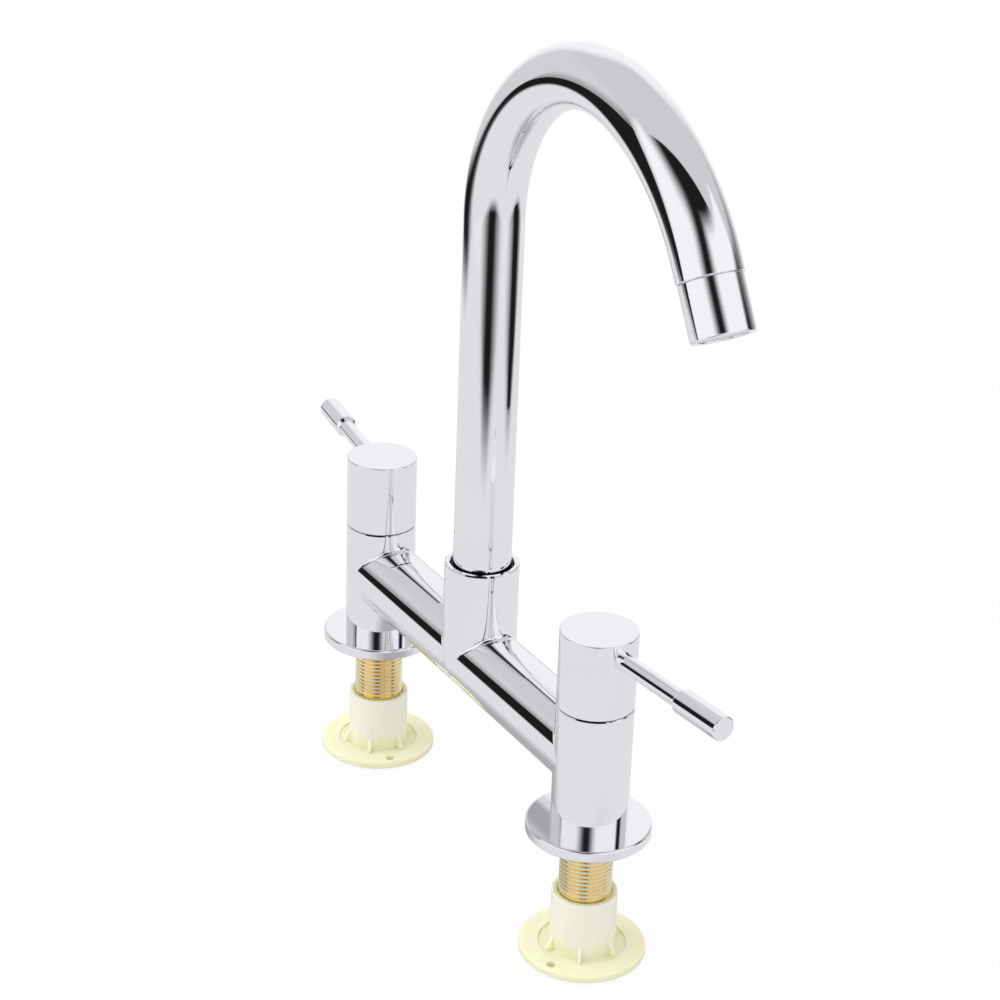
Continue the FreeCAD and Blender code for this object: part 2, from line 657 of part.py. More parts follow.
def aerator_housing():
    radius = AERATOR_DIAMETER / 2
    sleeve = rod(radius, 0, AERATOR_LENGTH)
    sleeve = sleeve.makeFillet(AERATOR_ROUND, rim_edges(sleeve, AERATOR_LENGTH, radius))
    sleeve = sleeve.makeChamfer(EDGE_BREAK, rim_edges(sleeve, 0, radius))
    neck = rod(SPOUT_INSIDE - SCREWED_CLEARANCE, -AERATOR_NECK, 0)
    housing = sleeve.fuse(neck).removeSplitter()
    lip_start = AERATOR_LENGTH - AERATOR_LIP
    housing = housing.cut(rod(AERATOR_BORE / 2, -AERATOR_NECK, lip_start))
    return housing.cut(rod(AERATOR_LIP_BORE / 2, lip_start, AERATOR_LENGTH))


def jet_holes(bottom, top):
    """Rings of small holes about the axis, six more in each ring than in the last."""
    hole = rod(JET_DIAMETER / 2, bottom, top)
    holes = [hole]
    for number in range(1, JET_RINGS + 1):
        count = 6 * number
        for index in range(count):
            angle = 2 * math.pi * index / count
            reach = number * JET_PITCH
            holes.append(moved(hole, reach * math.cos(angle), reach * math.sin(angle)))
    return holes


def aerator_insert():
    bottom = AERATOR_GASKET + SCREEN_THICKNESS
    top = AERATOR_LENGTH - AERATOR_LIP
    plug = rod(AERATOR_BORE / 2 - SCREWED_CLEARANCE, bottom, top)
    return plug.cut(jet_holes(bottom, top))


def aerator_screen():
    top = AERATOR_GASKET + SCREEN_THICKNESS
    screen = rod(AERATOR_BORE / 2 - SCREWED_CLEARANCE, AERATOR_GASKET, top)
    return screen.cut(jet_holes(AERATOR_GASKET, top))


def aerator_gasket():
    return ring(AERATOR_LIP_BORE / 2, AERATOR_BORE / 2 - SCREWED_CLEARANCE, 0, AERATOR_GASKET)


# ---- assembly ----------------------------------------------------------------------------

FIXED_PIECES = {
    "flange_disc": flange_disc,
    "flange_gasket": flange_gasket,
    "threaded_shank": threaded_shank,
    "shank_seal": shank_seal,
    "cartridge_housing": cartridge_housing,
    "bonnet_seal": bonnet_seal,
    "seat_seal": seat_seal,
}

TURNING_PIECES = {
    "moving_disc": moving_disc,
    "spindle": spindle,
    "spindle_seals": spindle_seals,
    "thrust_washer": thrust_washer,
    "circlip": circlip,
    "handle_cap": handle_cap,
    "lever_rod": lever_rod,
    "lever_grip": lever_grip,
}

OUTLET_PIECES = {
    "aerator_housing": aerator_housing,
    "aerator_insert": aerator_insert,
    "aerator_screen": aerator_screen,
    "aerator_gasket": aerator_gasket,
}


def build_valve(side, centre_x, azimuth, nut_turn):
    for name, make in FIXED_PIECES.items():
        save(side + "_" + name, moved(make(), centre_x))
    save(side + "_mounting_nut", moved(turned_about_z(mounting_nut(), nut_turn), centre_x))
    for name, make in TURNING_PIECES.items():
        save(side + "_" + name, moved(turned_about_z(make(), azimuth), centre_x))
    fixed_disc = ported_disc(FIXED_DISC_BOTTOM)
    save(side + "_fixed_disc", moved(turned_about_z(fixed_disc, azimuth), centre_x))


def build_spout():
    save("spout_tube", spout_tube())
    save("spout_nipple", spout_nipple())
    save("spout_seals", spout_seals())
    save("spout_clip", spout_clip())
    save("glide_ring", glide_ring())
    for name, make in OUTLET_PIECES.items():
        save(name, at_outlet(make()))


def main():
    os.makedirs("parts", exist_ok=True)
    save("bridge_body", bridge_body())
    build_valve("cold", VALVE_SPACING / 2, COLD_LEVER_AZIMUTH, COLD_NUT_TURN)
    build_valve("hot", -VALVE_SPACING / 2, HOT_LEVER_AZIMUTH, HOT_NUT_TURN)
    build_spout()


main()
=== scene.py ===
# %% [markdown]
# # Dressing a two handle kitchen faucet
# The object is a deck-mounted mixer tap: a chromed bridge body on two threaded brass shanks,
# a bent spout that swivels, and a lever handle on each side. The measured solids come from the
# frame, and this lesson gives them their looks, one piece or finish at a time. Everything is in
# metres, with Z up and Z = 0 on the deck that the two flanges rest on.

# %% Load the frame
import bpy
import json
import math
from mathutils import Matrix, Vector


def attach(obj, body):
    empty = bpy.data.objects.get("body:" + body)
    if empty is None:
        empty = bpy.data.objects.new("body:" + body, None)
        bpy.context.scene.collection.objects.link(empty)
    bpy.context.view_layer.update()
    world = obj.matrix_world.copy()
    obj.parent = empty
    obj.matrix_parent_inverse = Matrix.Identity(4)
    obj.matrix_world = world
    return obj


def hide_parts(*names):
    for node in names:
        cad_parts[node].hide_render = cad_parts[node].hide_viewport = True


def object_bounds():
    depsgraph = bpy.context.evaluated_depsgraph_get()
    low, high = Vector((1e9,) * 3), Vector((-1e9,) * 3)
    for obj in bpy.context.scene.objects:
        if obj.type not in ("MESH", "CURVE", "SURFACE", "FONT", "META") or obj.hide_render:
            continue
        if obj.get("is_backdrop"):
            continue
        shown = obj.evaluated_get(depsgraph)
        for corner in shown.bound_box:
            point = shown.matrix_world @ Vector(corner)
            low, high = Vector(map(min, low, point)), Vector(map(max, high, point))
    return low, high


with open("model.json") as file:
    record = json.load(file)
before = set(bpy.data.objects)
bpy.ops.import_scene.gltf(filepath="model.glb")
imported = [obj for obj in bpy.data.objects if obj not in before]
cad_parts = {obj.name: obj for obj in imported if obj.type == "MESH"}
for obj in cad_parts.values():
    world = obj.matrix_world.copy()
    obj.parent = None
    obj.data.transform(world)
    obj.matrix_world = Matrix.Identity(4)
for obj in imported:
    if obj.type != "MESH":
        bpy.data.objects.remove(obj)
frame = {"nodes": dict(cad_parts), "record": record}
cad_bounds = [list(corner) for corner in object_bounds()]
MM = 0.001
print("the frame holds", len(frame["nodes"]), "nodes and spans", cad_bounds)

# %% [markdown]
# ## Camera
# The picture looks down on the tap from the front right, with the cold side nearest. The camera
# is given by where it stands, the way it looks and how far it is rolled, because these are the
# numbers that a fit of the picture's cylinders gives. Its lens is a mild telephoto.

# %% Place the camera
CAMERA_PLACE = Vector((0.76268, -0.43506, 0.49765))
CAMERA_YAW = 149.891
CAMERA_PITCH = -24.19
CAMERA_ROLL = 2.178
LENS_TO_SENSOR = 2.413
SENSOR_WIDTH = 36.0
NEAREST = 0.01


def aim_camera(place, yaw, pitch, roll):
    """Adds a camera that looks along yaw and pitch, rolled to the right by roll degrees."""
    yaw, pitch, roll = (math.radians(angle) for angle in (yaw, pitch, roll))
    level = math.cos(pitch)
    ahead = Vector((level * math.cos(yaw), level * math.sin(yaw), math.sin(pitch)))
    right = ahead.cross(Vector((0, 0, 1))).normalized()
    above = right.cross(ahead)
    rolled_right = right * math.cos(roll) + above * math.sin(roll)
    rolled_above = above * math.cos(roll) - right * math.sin(roll)
    turn = Matrix((rolled_right, rolled_above, -ahead)).transposed()
    bpy.ops.object.camera_add(location=place, rotation=turn.to_euler())
    return bpy.context.object


camera = aim_camera(CAMERA_PLACE, CAMERA_YAW, CAMERA_PITCH, CAMERA_ROLL)
camera.name = "Camera"
camera.data.sensor_width = SENSOR_WIDTH
camera.data.lens = LENS_TO_SENSOR * SENSOR_WIDTH
camera.data.clip_start = NEAREST
bpy.context.scene.camera = camera
bpy.context.scene.view_settings.view_transform = "Standard"
print("lens", round(camera.data.lens, 1), "mm")

# %% [markdown]
# ## Hand tools
# New pieces are modelled as by hand: a primitive, then edit mode operators, then modifiers that
# are applied. A few short helpers keep that readable. They deselect everything first, because
# an operator acts on all that is selected, and the frame's nodes start out selected.

# %% Helpers for modelling
MERGE = 1e-6
CREASE = 35.0


def only(thing):
    """Selects one object and makes it the active one."""
    bpy.ops.object.select_all(action="DESELECT")
    thing.select_set(True)
    bpy.context.view_layer.objects.active = thing


def set_down(thing):
    """Writes an object's place, turn and size into its mesh."""
    only(thing)
    bpy.ops.object.transform_apply(location=True, rotation=True, scale=True)


def edit(thing, part="VERT"):
    """Opens edit mode with nothing selected."""
    only(thing)
    bpy.ops.object.mode_set(mode="EDIT")
    bpy.ops.mesh.select_mode(type=part)
    bpy.ops.mesh.select_all(action="DESELECT")


def done():
    """Closes edit mode."""
    bpy.ops.object.mode_set(mode="OBJECT")


def pick_edges(thing, wanted):
    """Edit mode with the edges selected whose two ends both pass the test."""
    edit(thing, "EDGE")
    done()
    spots = [vertex.co for vertex in thing.data.vertices]
    for edge in thing.data.edges:
        edge.select = all(wanted(spots[index]) for index in edge.vertices)
    bpy.ops.object.mode_set(mode="EDIT")


def pick_points(thing, wanted):
    """Edit mode with the points selected that pass the test."""
    edit(thing)
    done()
    for vertex in thing.data.vertices:
        vertex.select = wanted(vertex.co)
    bpy.ops.object.mode_set(mode="EDIT")


def apply_all(thing):
    """Applies an object's modifiers in their order."""
    only(thing)
    for modifier in list(thing.modifiers):
        bpy.ops.object.modifier_apply(modifier=modifier.name)


def smooth(thing, angle=CREASE):
    """Smooth shading, crisp at sharp edges, in which large faces stay flat beside small rounds."""
    only(thing)
    bpy.ops.object.shade_smooth_by_angle(angle=math.radians(angle))
    weigh = thing.modifiers.new("Weigh", "WEIGHTED_NORMAL")
    weigh.keep_sharp = True
    bpy.ops.object.modifier_apply(modifier=weigh.name)


def close_up(thing):
    """Merges doubled points and turns all faces outwards."""
    edit(thing)
    bpy.ops.mesh.select_all(action="SELECT")
    bpy.ops.mesh.remove_doubles(threshold=MERGE)
    bpy.ops.mesh.normals_make_consistent(inside=False)
    done()


def triangles(thing):
    """How many triangles a mesh comes to."""
    return sum(len(face.vertices) - 2 for face in thing.data.polygons)


# %% [markdown]
# ## Turned parts
# Most of a tap is turned on a lathe or bent from round tube, so one helper does the lathe's
# work. It starts from a circle and extrudes it along the axis, resizing it at each step, the
# way a profile is roughed out by hand. Each station is a radius and a height in millimetres.

# %% A lathe made of extrude and resize
AROUND = 96
ON_RIM = 0.02
ROUND_STEPS = 3
COARSE_STEPS = 2


def lathe(name, stations, around=AROUND, hollow=False):
    """A solid of revolution about Z through (radius, height) stations.

    A plain solid has flat ends. A hollow one comes back to its first station, as a ring does."""
    radius, height = stations[0]
    bpy.ops.object.select_all(action="DESELECT")
    bpy.ops.mesh.primitive_circle_add(
        vertices=around, radius=radius * MM, fill_type="NOTHING", location=(0, 0, height * MM))
    blank = bpy.context.object
    blank.name = name
    set_down(blank)
    edit(blank)
    bpy.ops.mesh.select_all(action="SELECT")
    if not hollow:
        bpy.ops.mesh.edge_face_add()
    rest = stations[1:] + stations[:1] if hollow else stations[1:]
    for next_radius, next_height in rest:
        rise = (next_height - height) * MM
        bpy.ops.mesh.extrude_region_move(TRANSFORM_OT_translate={"value": (0, 0, rise)})
        if next_radius != radius:
            factor = next_radius / radius
            centre = (0, 0, next_height * MM)
            bpy.ops.transform.resize(value=(factor, factor, 1), center_override=centre)
        radius, height = next_radius, next_height
    done()
    close_up(blank)
    return blank


def rim(thing, radius, height, size, segments=ROUND_STEPS):
    """Rounds one circular edge about Z, given by its radius and height in millimetres."""

    def on_rim(spot):
        reach = math.hypot(spot.x, spot.y)
        off = max(abs(reach - radius * MM), abs(spot.z - height * MM))
        return off < ON_RIM * MM

    pick_edges(thing, on_rim)
    bpy.ops.mesh.bevel(offset=size * MM, segments=segments, affect="EDGES")
    done()


def cut(thing, cutter, how="DIFFERENCE"):
    """Cuts one closed piece with another, or joins them, and deletes the second."""
    only(thing)
    step = thing.modifiers.new("Cut", "BOOLEAN")
    step.operation = how
    step.solver = "EXACT"
    step.object = cutter
    bpy.ops.object.modifier_apply(modifier=step.name)
    bpy.data.objects.remove(cutter)


def place(thing, x=0.0, height=0.0, turn=0.0, tip=0.0):
    """Tips a piece about Y, turns it about Z, moves it (millimetres), and sets it down."""
    thing.rotation_euler = (0, math.radians(tip), math.radians(turn))
    thing.location = (x * MM, 0, height * MM)
    set_down(thing)
    return thing


def twin(thing, name):
    """A second piece with its own mesh."""
    only(thing)
    bpy.ops.object.duplicate(linked=False)
    copy = bpy.context.object
    copy.name = name
    return copy


# %% [markdown]
# ## Spout
# The real spout is one thin brass tube, bent on a machine in two radii without a straight run
# between them, then polished and plated. Modelling follows the bending: a circle is extruded up
# the riser, spun round the centre of each bend, and extruded again for the short tail. Solidify
# then gives the wall inwards, so that the outside keeps its measured 23.6 mm.

# %% Spout sizes
SPOUT_RADIUS = 11.8
SPOUT_WALL = 1.0
SPOUT_FOOT = 61.5
RISER_TOP = 219.7
ARCH_RADIUS = 70.2
ARCH_TURN = 107.0
DROP_RADIUS = 89.4
OUTLET_TURN = 150.0
SPOUT_TAIL = 5.0


def along_bend(centre, radius, turn):
    """The point on a bend, and the way the tube runs there, turn degrees from upright."""
    angle = math.radians(turn)
    outwards = Vector((-math.cos(angle), 0, math.sin(angle)))
    return centre + outwards * radius, Vector((math.sin(angle), 0, math.cos(angle)))


arch_centre = Vector((ARCH_RADIUS, 0, RISER_TOP))
arch_end = along_bend(arch_centre, ARCH_RADIUS, ARCH_TURN)[0]
drop_centre = arch_end + (arch_centre - arch_end).normalized() * DROP_RADIUS
drop_end, outlet_way = along_bend(drop_centre, DROP_RADIUS, OUTLET_TURN)
tail_end = drop_end + outlet_way * SPOUT_TAIL
print("the tube ends at", [round(value, 1) for value in tail_end], "mm")

# %% Spout tube
ARCH_STEPS = 72
DROP_STEPS = 32
LIP_ROUND = 0.45
LIP_ANGLE = 60.0
SPOUT_CREASE = 40.0


def spin(centre, turn, steps):
    """Bends what is selected round a centre, turn degrees in the XZ plane."""
    bpy.ops.mesh.spin(
        steps=steps, angle=math.radians(turn), center=centre * MM, axis=(0, -1, 0))


DRESSED = []


def dress(piece, body, slot, *nodes):
    """Says what a finished piece rides on, which finish it takes and what it stands in for."""
    DRESSED.append((piece, slot))
    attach(piece, body)
    if nodes:
        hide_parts(*nodes)


bpy.ops.object.select_all(action="DESELECT")
bpy.ops.mesh.primitive_circle_add(
    vertices=AROUND, radius=SPOUT_RADIUS * MM, location=(0, 0, SPOUT_FOOT * MM))
spout_shell = bpy.context.object
spout_shell.name = "spout_shell"
set_down(spout_shell)
edit(spout_shell)
bpy.ops.mesh.select_all(action="SELECT")
riser = Vector((0, 0, (RISER_TOP - SPOUT_FOOT) * MM))
bpy.ops.mesh.extrude_region_move(TRANSFORM_OT_translate={"value": riser})
spin(arch_centre, ARCH_TURN, ARCH_STEPS)
spin(drop_centre, OUTLET_TURN - ARCH_TURN, DROP_STEPS)
bpy.ops.mesh.extrude_region_move(
    TRANSFORM_OT_translate={"value": outlet_way * SPOUT_TAIL * MM})
done()
close_up(spout_shell)
wall = spout_shell.modifiers.new("Wall", "SOLIDIFY")
wall.thickness = SPOUT_WALL * MM
wall.offset = -1.0
wall.use_even_offset = True
lip = spout_shell.modifiers.new("Lip", "BEVEL")
lip.width = LIP_ROUND * MM
lip.segments = ROUND_STEPS
lip.limit_method = "ANGLE"
lip.angle_limit = math.radians(LIP_ANGLE)
apply_all(spout_shell)
smooth(spout_shell, SPOUT_CREASE)
dress(spout_shell, "spout", "chrome", "spout_tube")
print("spout shell", triangles(spout_shell), "triangles")

# %% [markdown]
# ## Outlet sleeve
# A turned brass sleeve screws into the spout's end and holds the flow straightener. Its lower lip
# is well rounded and turns inwards to keep the insert in, and its upper edge meets the tube with
# a fine groove. It is turned about Z and then tipped to the outlet's slope.

# %% Outlet sleeve
SLEEVE_RADIUS = 11.3
SLEEVE_LENGTH = 20.0
SLEEVE_BORE = 9.6
SLEEVE_MOUTH = 8.8
SLEEVE_LIP = 1.2
SLEEVE_NECK = 6.0
NECK_RADIUS = 10.78
SLEEVE_EDGE = 0.4
SLEEVE_END_ROUND = 0.7
SLEEVE_END_STEPS = 5

outlet_sleeve = lathe("outlet_sleeve", [
    (SLEEVE_BORE, -SLEEVE_NECK),
    (NECK_RADIUS, -SLEEVE_NECK),
    (NECK_RADIUS, 0),
    (SLEEVE_RADIUS, 0),
    (SLEEVE_RADIUS, SLEEVE_LENGTH),
    (SLEEVE_MOUTH, SLEEVE_LENGTH),
    (SLEEVE_MOUTH, SLEEVE_LENGTH - SLEEVE_LIP),
    (SLEEVE_BORE, SLEEVE_LENGTH - SLEEVE_LIP),
], hollow=True)
rim(outlet_sleeve, SLEEVE_RADIUS, 0, SLEEVE_EDGE)
rim(outlet_sleeve, SLEEVE_RADIUS, SLEEVE_LENGTH, SLEEVE_END_ROUND, SLEEVE_END_STEPS)
rim(outlet_sleeve, SLEEVE_MOUTH, SLEEVE_LENGTH, SLEEVE_EDGE)
smooth(outlet_sleeve)
place(outlet_sleeve, x=tail_end.x, height=tail_end.z, tip=OUTLET_TURN)
dress(outlet_sleeve, "spout", "chrome", "aerator_housing")
print("outlet sleeve", triangles(outlet_sleeve), "triangles")

# %% [markdown]
# ## Handle caps
# Each handle is a turned cap, the same width as the tower under it, with a broken edge at the top
# and at the parting line. It is hollow below, to clear the cartridge, and bored across for the
# lever. One cap is turned with its lever hole towards +X, then copied for the other side.

# %% Handle caps
VALVE_X = {"cold": 90.0, "hot": -90.0}
LEVER_TURN = {"cold": 5.0, "hot": 172.0}
CAP_RADIUS = 15.0
CAP_BOTTOM = 55.9
CAP_TOP = 87.0
CAP_CAVITY = 12.5
CAP_CAVITY_TOP = 69.5
SPINDLE_SOCKET = 3.97
SPINDLE_SOCKET_TOP = 83.1
CAP_EDGE = 0.4
LEVER_HEIGHT = 80.6
LEVER_SEAT = 11.0
ROD_RADIUS = 3.45
STUD_RADIUS = 2.5
HOLE_MARGIN = 0.4
CAP_AROUND = 256
PIN_AROUND = 64
FIT = 0.02
SPARE = 1.0


def make_cap():
    """A cap with its lever hole towards +X. Two stations keep the hole out of the long faces."""
    cap = lathe("handle_cap", [
        (SPINDLE_SOCKET, SPINDLE_SOCKET_TOP),
        (SPINDLE_SOCKET, CAP_CAVITY_TOP),
        (CAP_CAVITY, CAP_CAVITY_TOP),
        (CAP_CAVITY, CAP_BOTTOM),
        (CAP_RADIUS, CAP_BOTTOM),
        (CAP_RADIUS, LEVER_HEIGHT - ROD_RADIUS - HOLE_MARGIN),
        (CAP_RADIUS, LEVER_HEIGHT + ROD_RADIUS + HOLE_MARGIN),
        (CAP_RADIUS, CAP_TOP),
    ], around=CAP_AROUND)
    rim(cap, CAP_RADIUS, CAP_TOP, CAP_EDGE)
    rim(cap, CAP_RADIUS, CAP_BOTTOM, CAP_EDGE)
    drill = lathe("drill", [
        (STUD_RADIUS + FIT, 0),
        (STUD_RADIUS + FIT, LEVER_SEAT),
        (ROD_RADIUS + FIT, LEVER_SEAT),
        (ROD_RADIUS + FIT, CAP_RADIUS + 2 * SPARE),
    ], around=PIN_AROUND)
    place(drill, height=LEVER_HEIGHT, tip=90)
    cut(cap, drill)
    return cap


def for_both_sides(piece, slot, body, turns, shown_as, stands_for):
    """Puts one piece on the hot side and a twin of it on the cold side."""
    made = []
    for side in ("cold", "hot"):
        copy = piece if side == "hot" else twin(piece, "cold_" + shown_as)
        copy.name = side + "_" + shown_as
        place(copy, x=VALVE_X[side], turn=turns[side])
        smooth(copy)
        dress(copy, body[side], slot, side + "_" + stands_for)
        made.append(copy)
    print(shown_as, "pair", sum(triangles(copy) for copy in made), "triangles")


HANDLE = {"cold": "cold_handle", "hot": "hot_handle"}
for_both_sides(make_cap(), "chrome", HANDLE, LEVER_TURN, "handle_top", "handle_cap")

# %% [markdown]
# ## Levers
# The lever is a plain rod that screws into the cap, with a thicker grip on its outer end. The
# grip starts with a short cone, so that it never catches a cloth, and ends in a flat face inside
# a broken edge. Both are turned about Z and tipped over to +X.

# %% Lever rods and grips
GRIP_START = 49.0
LEVER_REACH = 74.0
GRIP_RADIUS = 4.8
GRIP_CONE = 1.5
GRIP_CONE_START = 3.55
GRIP_END_EDGE = 0.55
STUD_START = 3.0
STUD_EDGE = 0.4
ROD_EDGE = 0.15
GRIP_CONE_EDGE = 0.3
PIN_END = 69.0


def make_rod():
    """A rod with a thinner stud at its inner end and a thinner pin at its outer end."""
    rod = lathe("lever_rod", [
        (STUD_RADIUS, STUD_START),
        (STUD_RADIUS, LEVER_SEAT),
        (ROD_RADIUS, LEVER_SEAT),
        (ROD_RADIUS, GRIP_START),
        (STUD_RADIUS, GRIP_START),
        (STUD_RADIUS, PIN_END),
    ], around=PIN_AROUND)
    rim(rod, STUD_RADIUS, STUD_START, STUD_EDGE)
    rim(rod, ROD_RADIUS, GRIP_START, ROD_EDGE, COARSE_STEPS)
    return place(rod, height=LEVER_HEIGHT, tip=90)


def make_grip():
    """A sleeve that fits over the rod's pin, closed at its outer end."""
    grip = lathe("lever_grip", [
        (STUD_RADIUS + FIT, PIN_END),
        (STUD_RADIUS + FIT, GRIP_START),
        (GRIP_CONE_START, GRIP_START),
        (GRIP_RADIUS, GRIP_START + GRIP_CONE),
        (GRIP_RADIUS, LEVER_REACH),
    ], around=PIN_AROUND)
    rim(grip, GRIP_RADIUS, GRIP_START + GRIP_CONE, GRIP_CONE_EDGE)
    rim(grip, GRIP_RADIUS, LEVER_REACH, GRIP_END_EDGE)
    return place(grip, height=LEVER_HEIGHT, tip=90)


for_both_sides(make_rod(), "chrome", HANDLE, LEVER_TURN, "lever_bar", "lever_rod")
for_both_sides(make_grip(), "chrome", HANDLE, LEVER_TURN, "lever_sleeve", "lever_grip")

# %% [markdown]
# ## Threaded shanks
# Each flange is drawn down by a brass shank with a pipe thread of 14 turns to the inch. A screw
# thread is one profile swept along a helix, which is what the Screw modifier does: an edge with
# the shape of one thread climbs one pitch a turn. The sweep is closed at both ends with bisect,
# and a turned blank then trims it to length, chamfers its foot and bores the water way. The plain
# neck and the tail that goes up into the valve are turned as well, and joined to the thread.

# %% Thread sizes
THREAD_RADIUS = 20.955 / 2
THREAD_PITCH = 1.814
THREAD_DEPTH = 1.16
ROOT_RADIUS = THREAD_RADIUS - THREAD_DEPTH
THREAD_TOP = -5.0
SHANK_FOOT = -55.0
SHANK_TOP = 16.3
SHANK_NECK = 10.3
SHANK_BORE = 7.0
CREST_FLAT = 0.78
ROOT_FLAT = 0.14
FLANK = (THREAD_PITCH - CREST_FLAT - ROOT_FLAT) / 2
THREAD_AROUND = 72
THREAD_MERGE = 2e-6
SPARE_TURNS = 2

# %% One helical thread


def thread_sweep(name, low, high):
    """A closed rod with a helical thread, cut flat at its two ends.

    It starts as one point of a plane at the root, one pitch below the low end."""
    bpy.ops.object.select_all(action="DESELECT")
    bpy.ops.mesh.primitive_plane_add(size=MM, location=(0, 0, 0))
    sweep = bpy.context.object
    sweep.name = name
    pick_points(sweep, lambda spot: spot.x > 0 or spot.y > 0)
    bpy.ops.mesh.delete(type="VERT")
    done()
    sweep.data.vertices[0].co = (ROOT_RADIUS * MM, 0, (low - THREAD_PITCH) * MM)
    edit(sweep)
    bpy.ops.mesh.select_all(action="SELECT")
    profile = ((0, ROOT_FLAT), (THREAD_DEPTH, FLANK), (0, CREST_FLAT), (-THREAD_DEPTH, FLANK))
    for outwards, upwards in profile:
        bpy.ops.mesh.extrude_region_move(
            TRANSFORM_OT_translate={"value": (outwards * MM, 0, upwards * MM)})
    done()
    helix = sweep.modifiers.new("Helix", "SCREW")
    helix.axis = "Z"
    helix.screw_offset = THREAD_PITCH * MM
    helix.iterations = math.ceil((high - low) / THREAD_PITCH) + SPARE_TURNS
    helix.steps = THREAD_AROUND
    helix.render_steps = THREAD_AROUND
    helix.use_merge_vertices = True
    helix.merge_threshold = THREAD_MERGE
    apply_all(sweep)
    edit(sweep)
    bpy.ops.mesh.select_all(action="SELECT")
    bpy.ops.mesh.remove_doubles(threshold=THREAD_MERGE)
    for height, inner, outer in ((low, True, False), (high, False, True)):
        bpy.ops.mesh.select_all(action="SELECT")
        bpy.ops.mesh.bisect(
            plane_co=(0, 0, height * MM), plane_no=(0, 0, 1), use_fill=True,
            clear_inner=inner, clear_outer=outer)
    bpy.ops.mesh.select_all(action="SELECT")
    bpy.ops.mesh.normals_make_consistent(inside=False)
    done()
    return sweep


# %% Shanks
CREST_CLEAR = 0.01
FOOT_CHAMFER = 1.4
THREAD_RUNOUT = 0.6
NECK_OVERLAP = 0.4


def make_shank():
    """A threaded shank with its neck and its tail, bored through."""
    shank = thread_sweep("shank", SHANK_FOOT - SPARE, THREAD_TOP + SPARE)
    blank = lathe("blank", [
        (SHANK_BORE, SHANK_FOOT),
        (ROOT_RADIUS, SHANK_FOOT),
        (THREAD_RADIUS + CREST_CLEAR, SHANK_FOOT + FOOT_CHAMFER),
        (THREAD_RADIUS + CREST_CLEAR, THREAD_TOP - THREAD_RUNOUT),
        (ROOT_RADIUS, THREAD_TOP),
        (SHANK_BORE, THREAD_TOP),
    ], hollow=True)
    cut(shank, blank, "INTERSECT")
    neck = lathe("neck", [
        (SHANK_BORE, THREAD_TOP - NECK_OVERLAP),
        (ROOT_RADIUS, THREAD_TOP - NECK_OVERLAP),
        (SHANK_NECK, THREAD_TOP + THREAD_RUNOUT),
        (SHANK_NECK, 0),
        (THREAD_RADIUS - FIT, 0),
        (THREAD_RADIUS - FIT, SHANK_TOP),
        (SHANK_BORE, SHANK_TOP),
    ], hollow=True)
    cut(shank, neck, "UNION")
    return shank


BRIDGE = {"cold": "bridge", "hot": "bridge"}
SHANK_TURN = {"cold": 0.0, "hot": 140.0}
for_both_sides(
    make_shank(), "thread_brass", BRIDGE, SHANK_TURN, "shank_thread", "threaded_shank")

# %% [markdown]
# ## Mounting nuts
# The nuts are moulded in cream plastic: a sleeve with a round flange at its foot, a shallow
# recess round the sleeve, six small webs that brace it, and two holes for a pin spanner. All
# moulded edges are a little round. The bore is left plain: its thread is hidden by the shank.

# %% Nut sizes
NUT_FOOT = -54.0
NUT_TOP = -26.8
NUT_SLEEVE = 13.0
NUT_DISC = 25.2
NUT_DISC_TOP = -50.8
NUT_RECESS = 17.5
NUT_RECESS_FLOOR = -51.8
NUT_BORE = 10.5975
# Each rounded edge of the nut: its radius and height, how round it is, and in how many steps.
NUT_ROUNDS = (
    (NUT_DISC, NUT_FOOT, 0.5, ROUND_STEPS),
    (NUT_DISC, NUT_DISC_TOP, 0.6, ROUND_STEPS),
    (NUT_RECESS, NUT_DISC_TOP, 0.3, COARSE_STEPS),
    (NUT_SLEEVE, NUT_RECESS_FLOOR, 0.5, ROUND_STEPS),
    (NUT_SLEEVE, NUT_TOP, 0.45, ROUND_STEPS),
    (NUT_BORE, NUT_TOP, 0.5, COARSE_STEPS),
)
NUT_TURN = {"cold": -35.0, "hot": 18.0}

# %% One web
WEBS = 6
WEB_REACH = 3.4
WEB_HEIGHT = 6.0
WEB_THICKNESS = 1.6
WEB_SINK = 0.4
WEB_EDGE = 0.3


def make_web():
    """A brace between sleeve and disc: a slab whose outer top edge is pulled in to a slope."""
    reach = WEB_THICKNESS + WEB_REACH
    centre = Vector((
        NUT_SLEEVE - WEB_THICKNESS + reach / 2, 0, NUT_RECESS_FLOOR + (WEB_HEIGHT - WEB_SINK) / 2))
    centre *= MM
    bpy.ops.object.select_all(action="DESELECT")
    bpy.ops.mesh.primitive_cube_add(size=1, location=centre)
    web = bpy.context.object
    web.scale = (reach * MM, WEB_THICKNESS * MM, (WEB_HEIGHT + WEB_SINK) * MM)
    set_down(web)
    pick_points(web, lambda spot: spot.x > centre.x and spot.z > centre.z)
    bpy.ops.transform.translate(value=(-WEB_REACH * MM, 0, 0))
    bpy.ops.mesh.select_all(action="SELECT")
    bpy.ops.mesh.bevel(offset=WEB_EDGE * MM, segments=COARSE_STEPS, affect="EDGES")
    done()
    return web


# %% Nuts
SPANNER_HOLE = 1.8
SPANNER_REACH = 21.5
SPANNER_TURN = -30.0
SPANNER_AROUND = 32


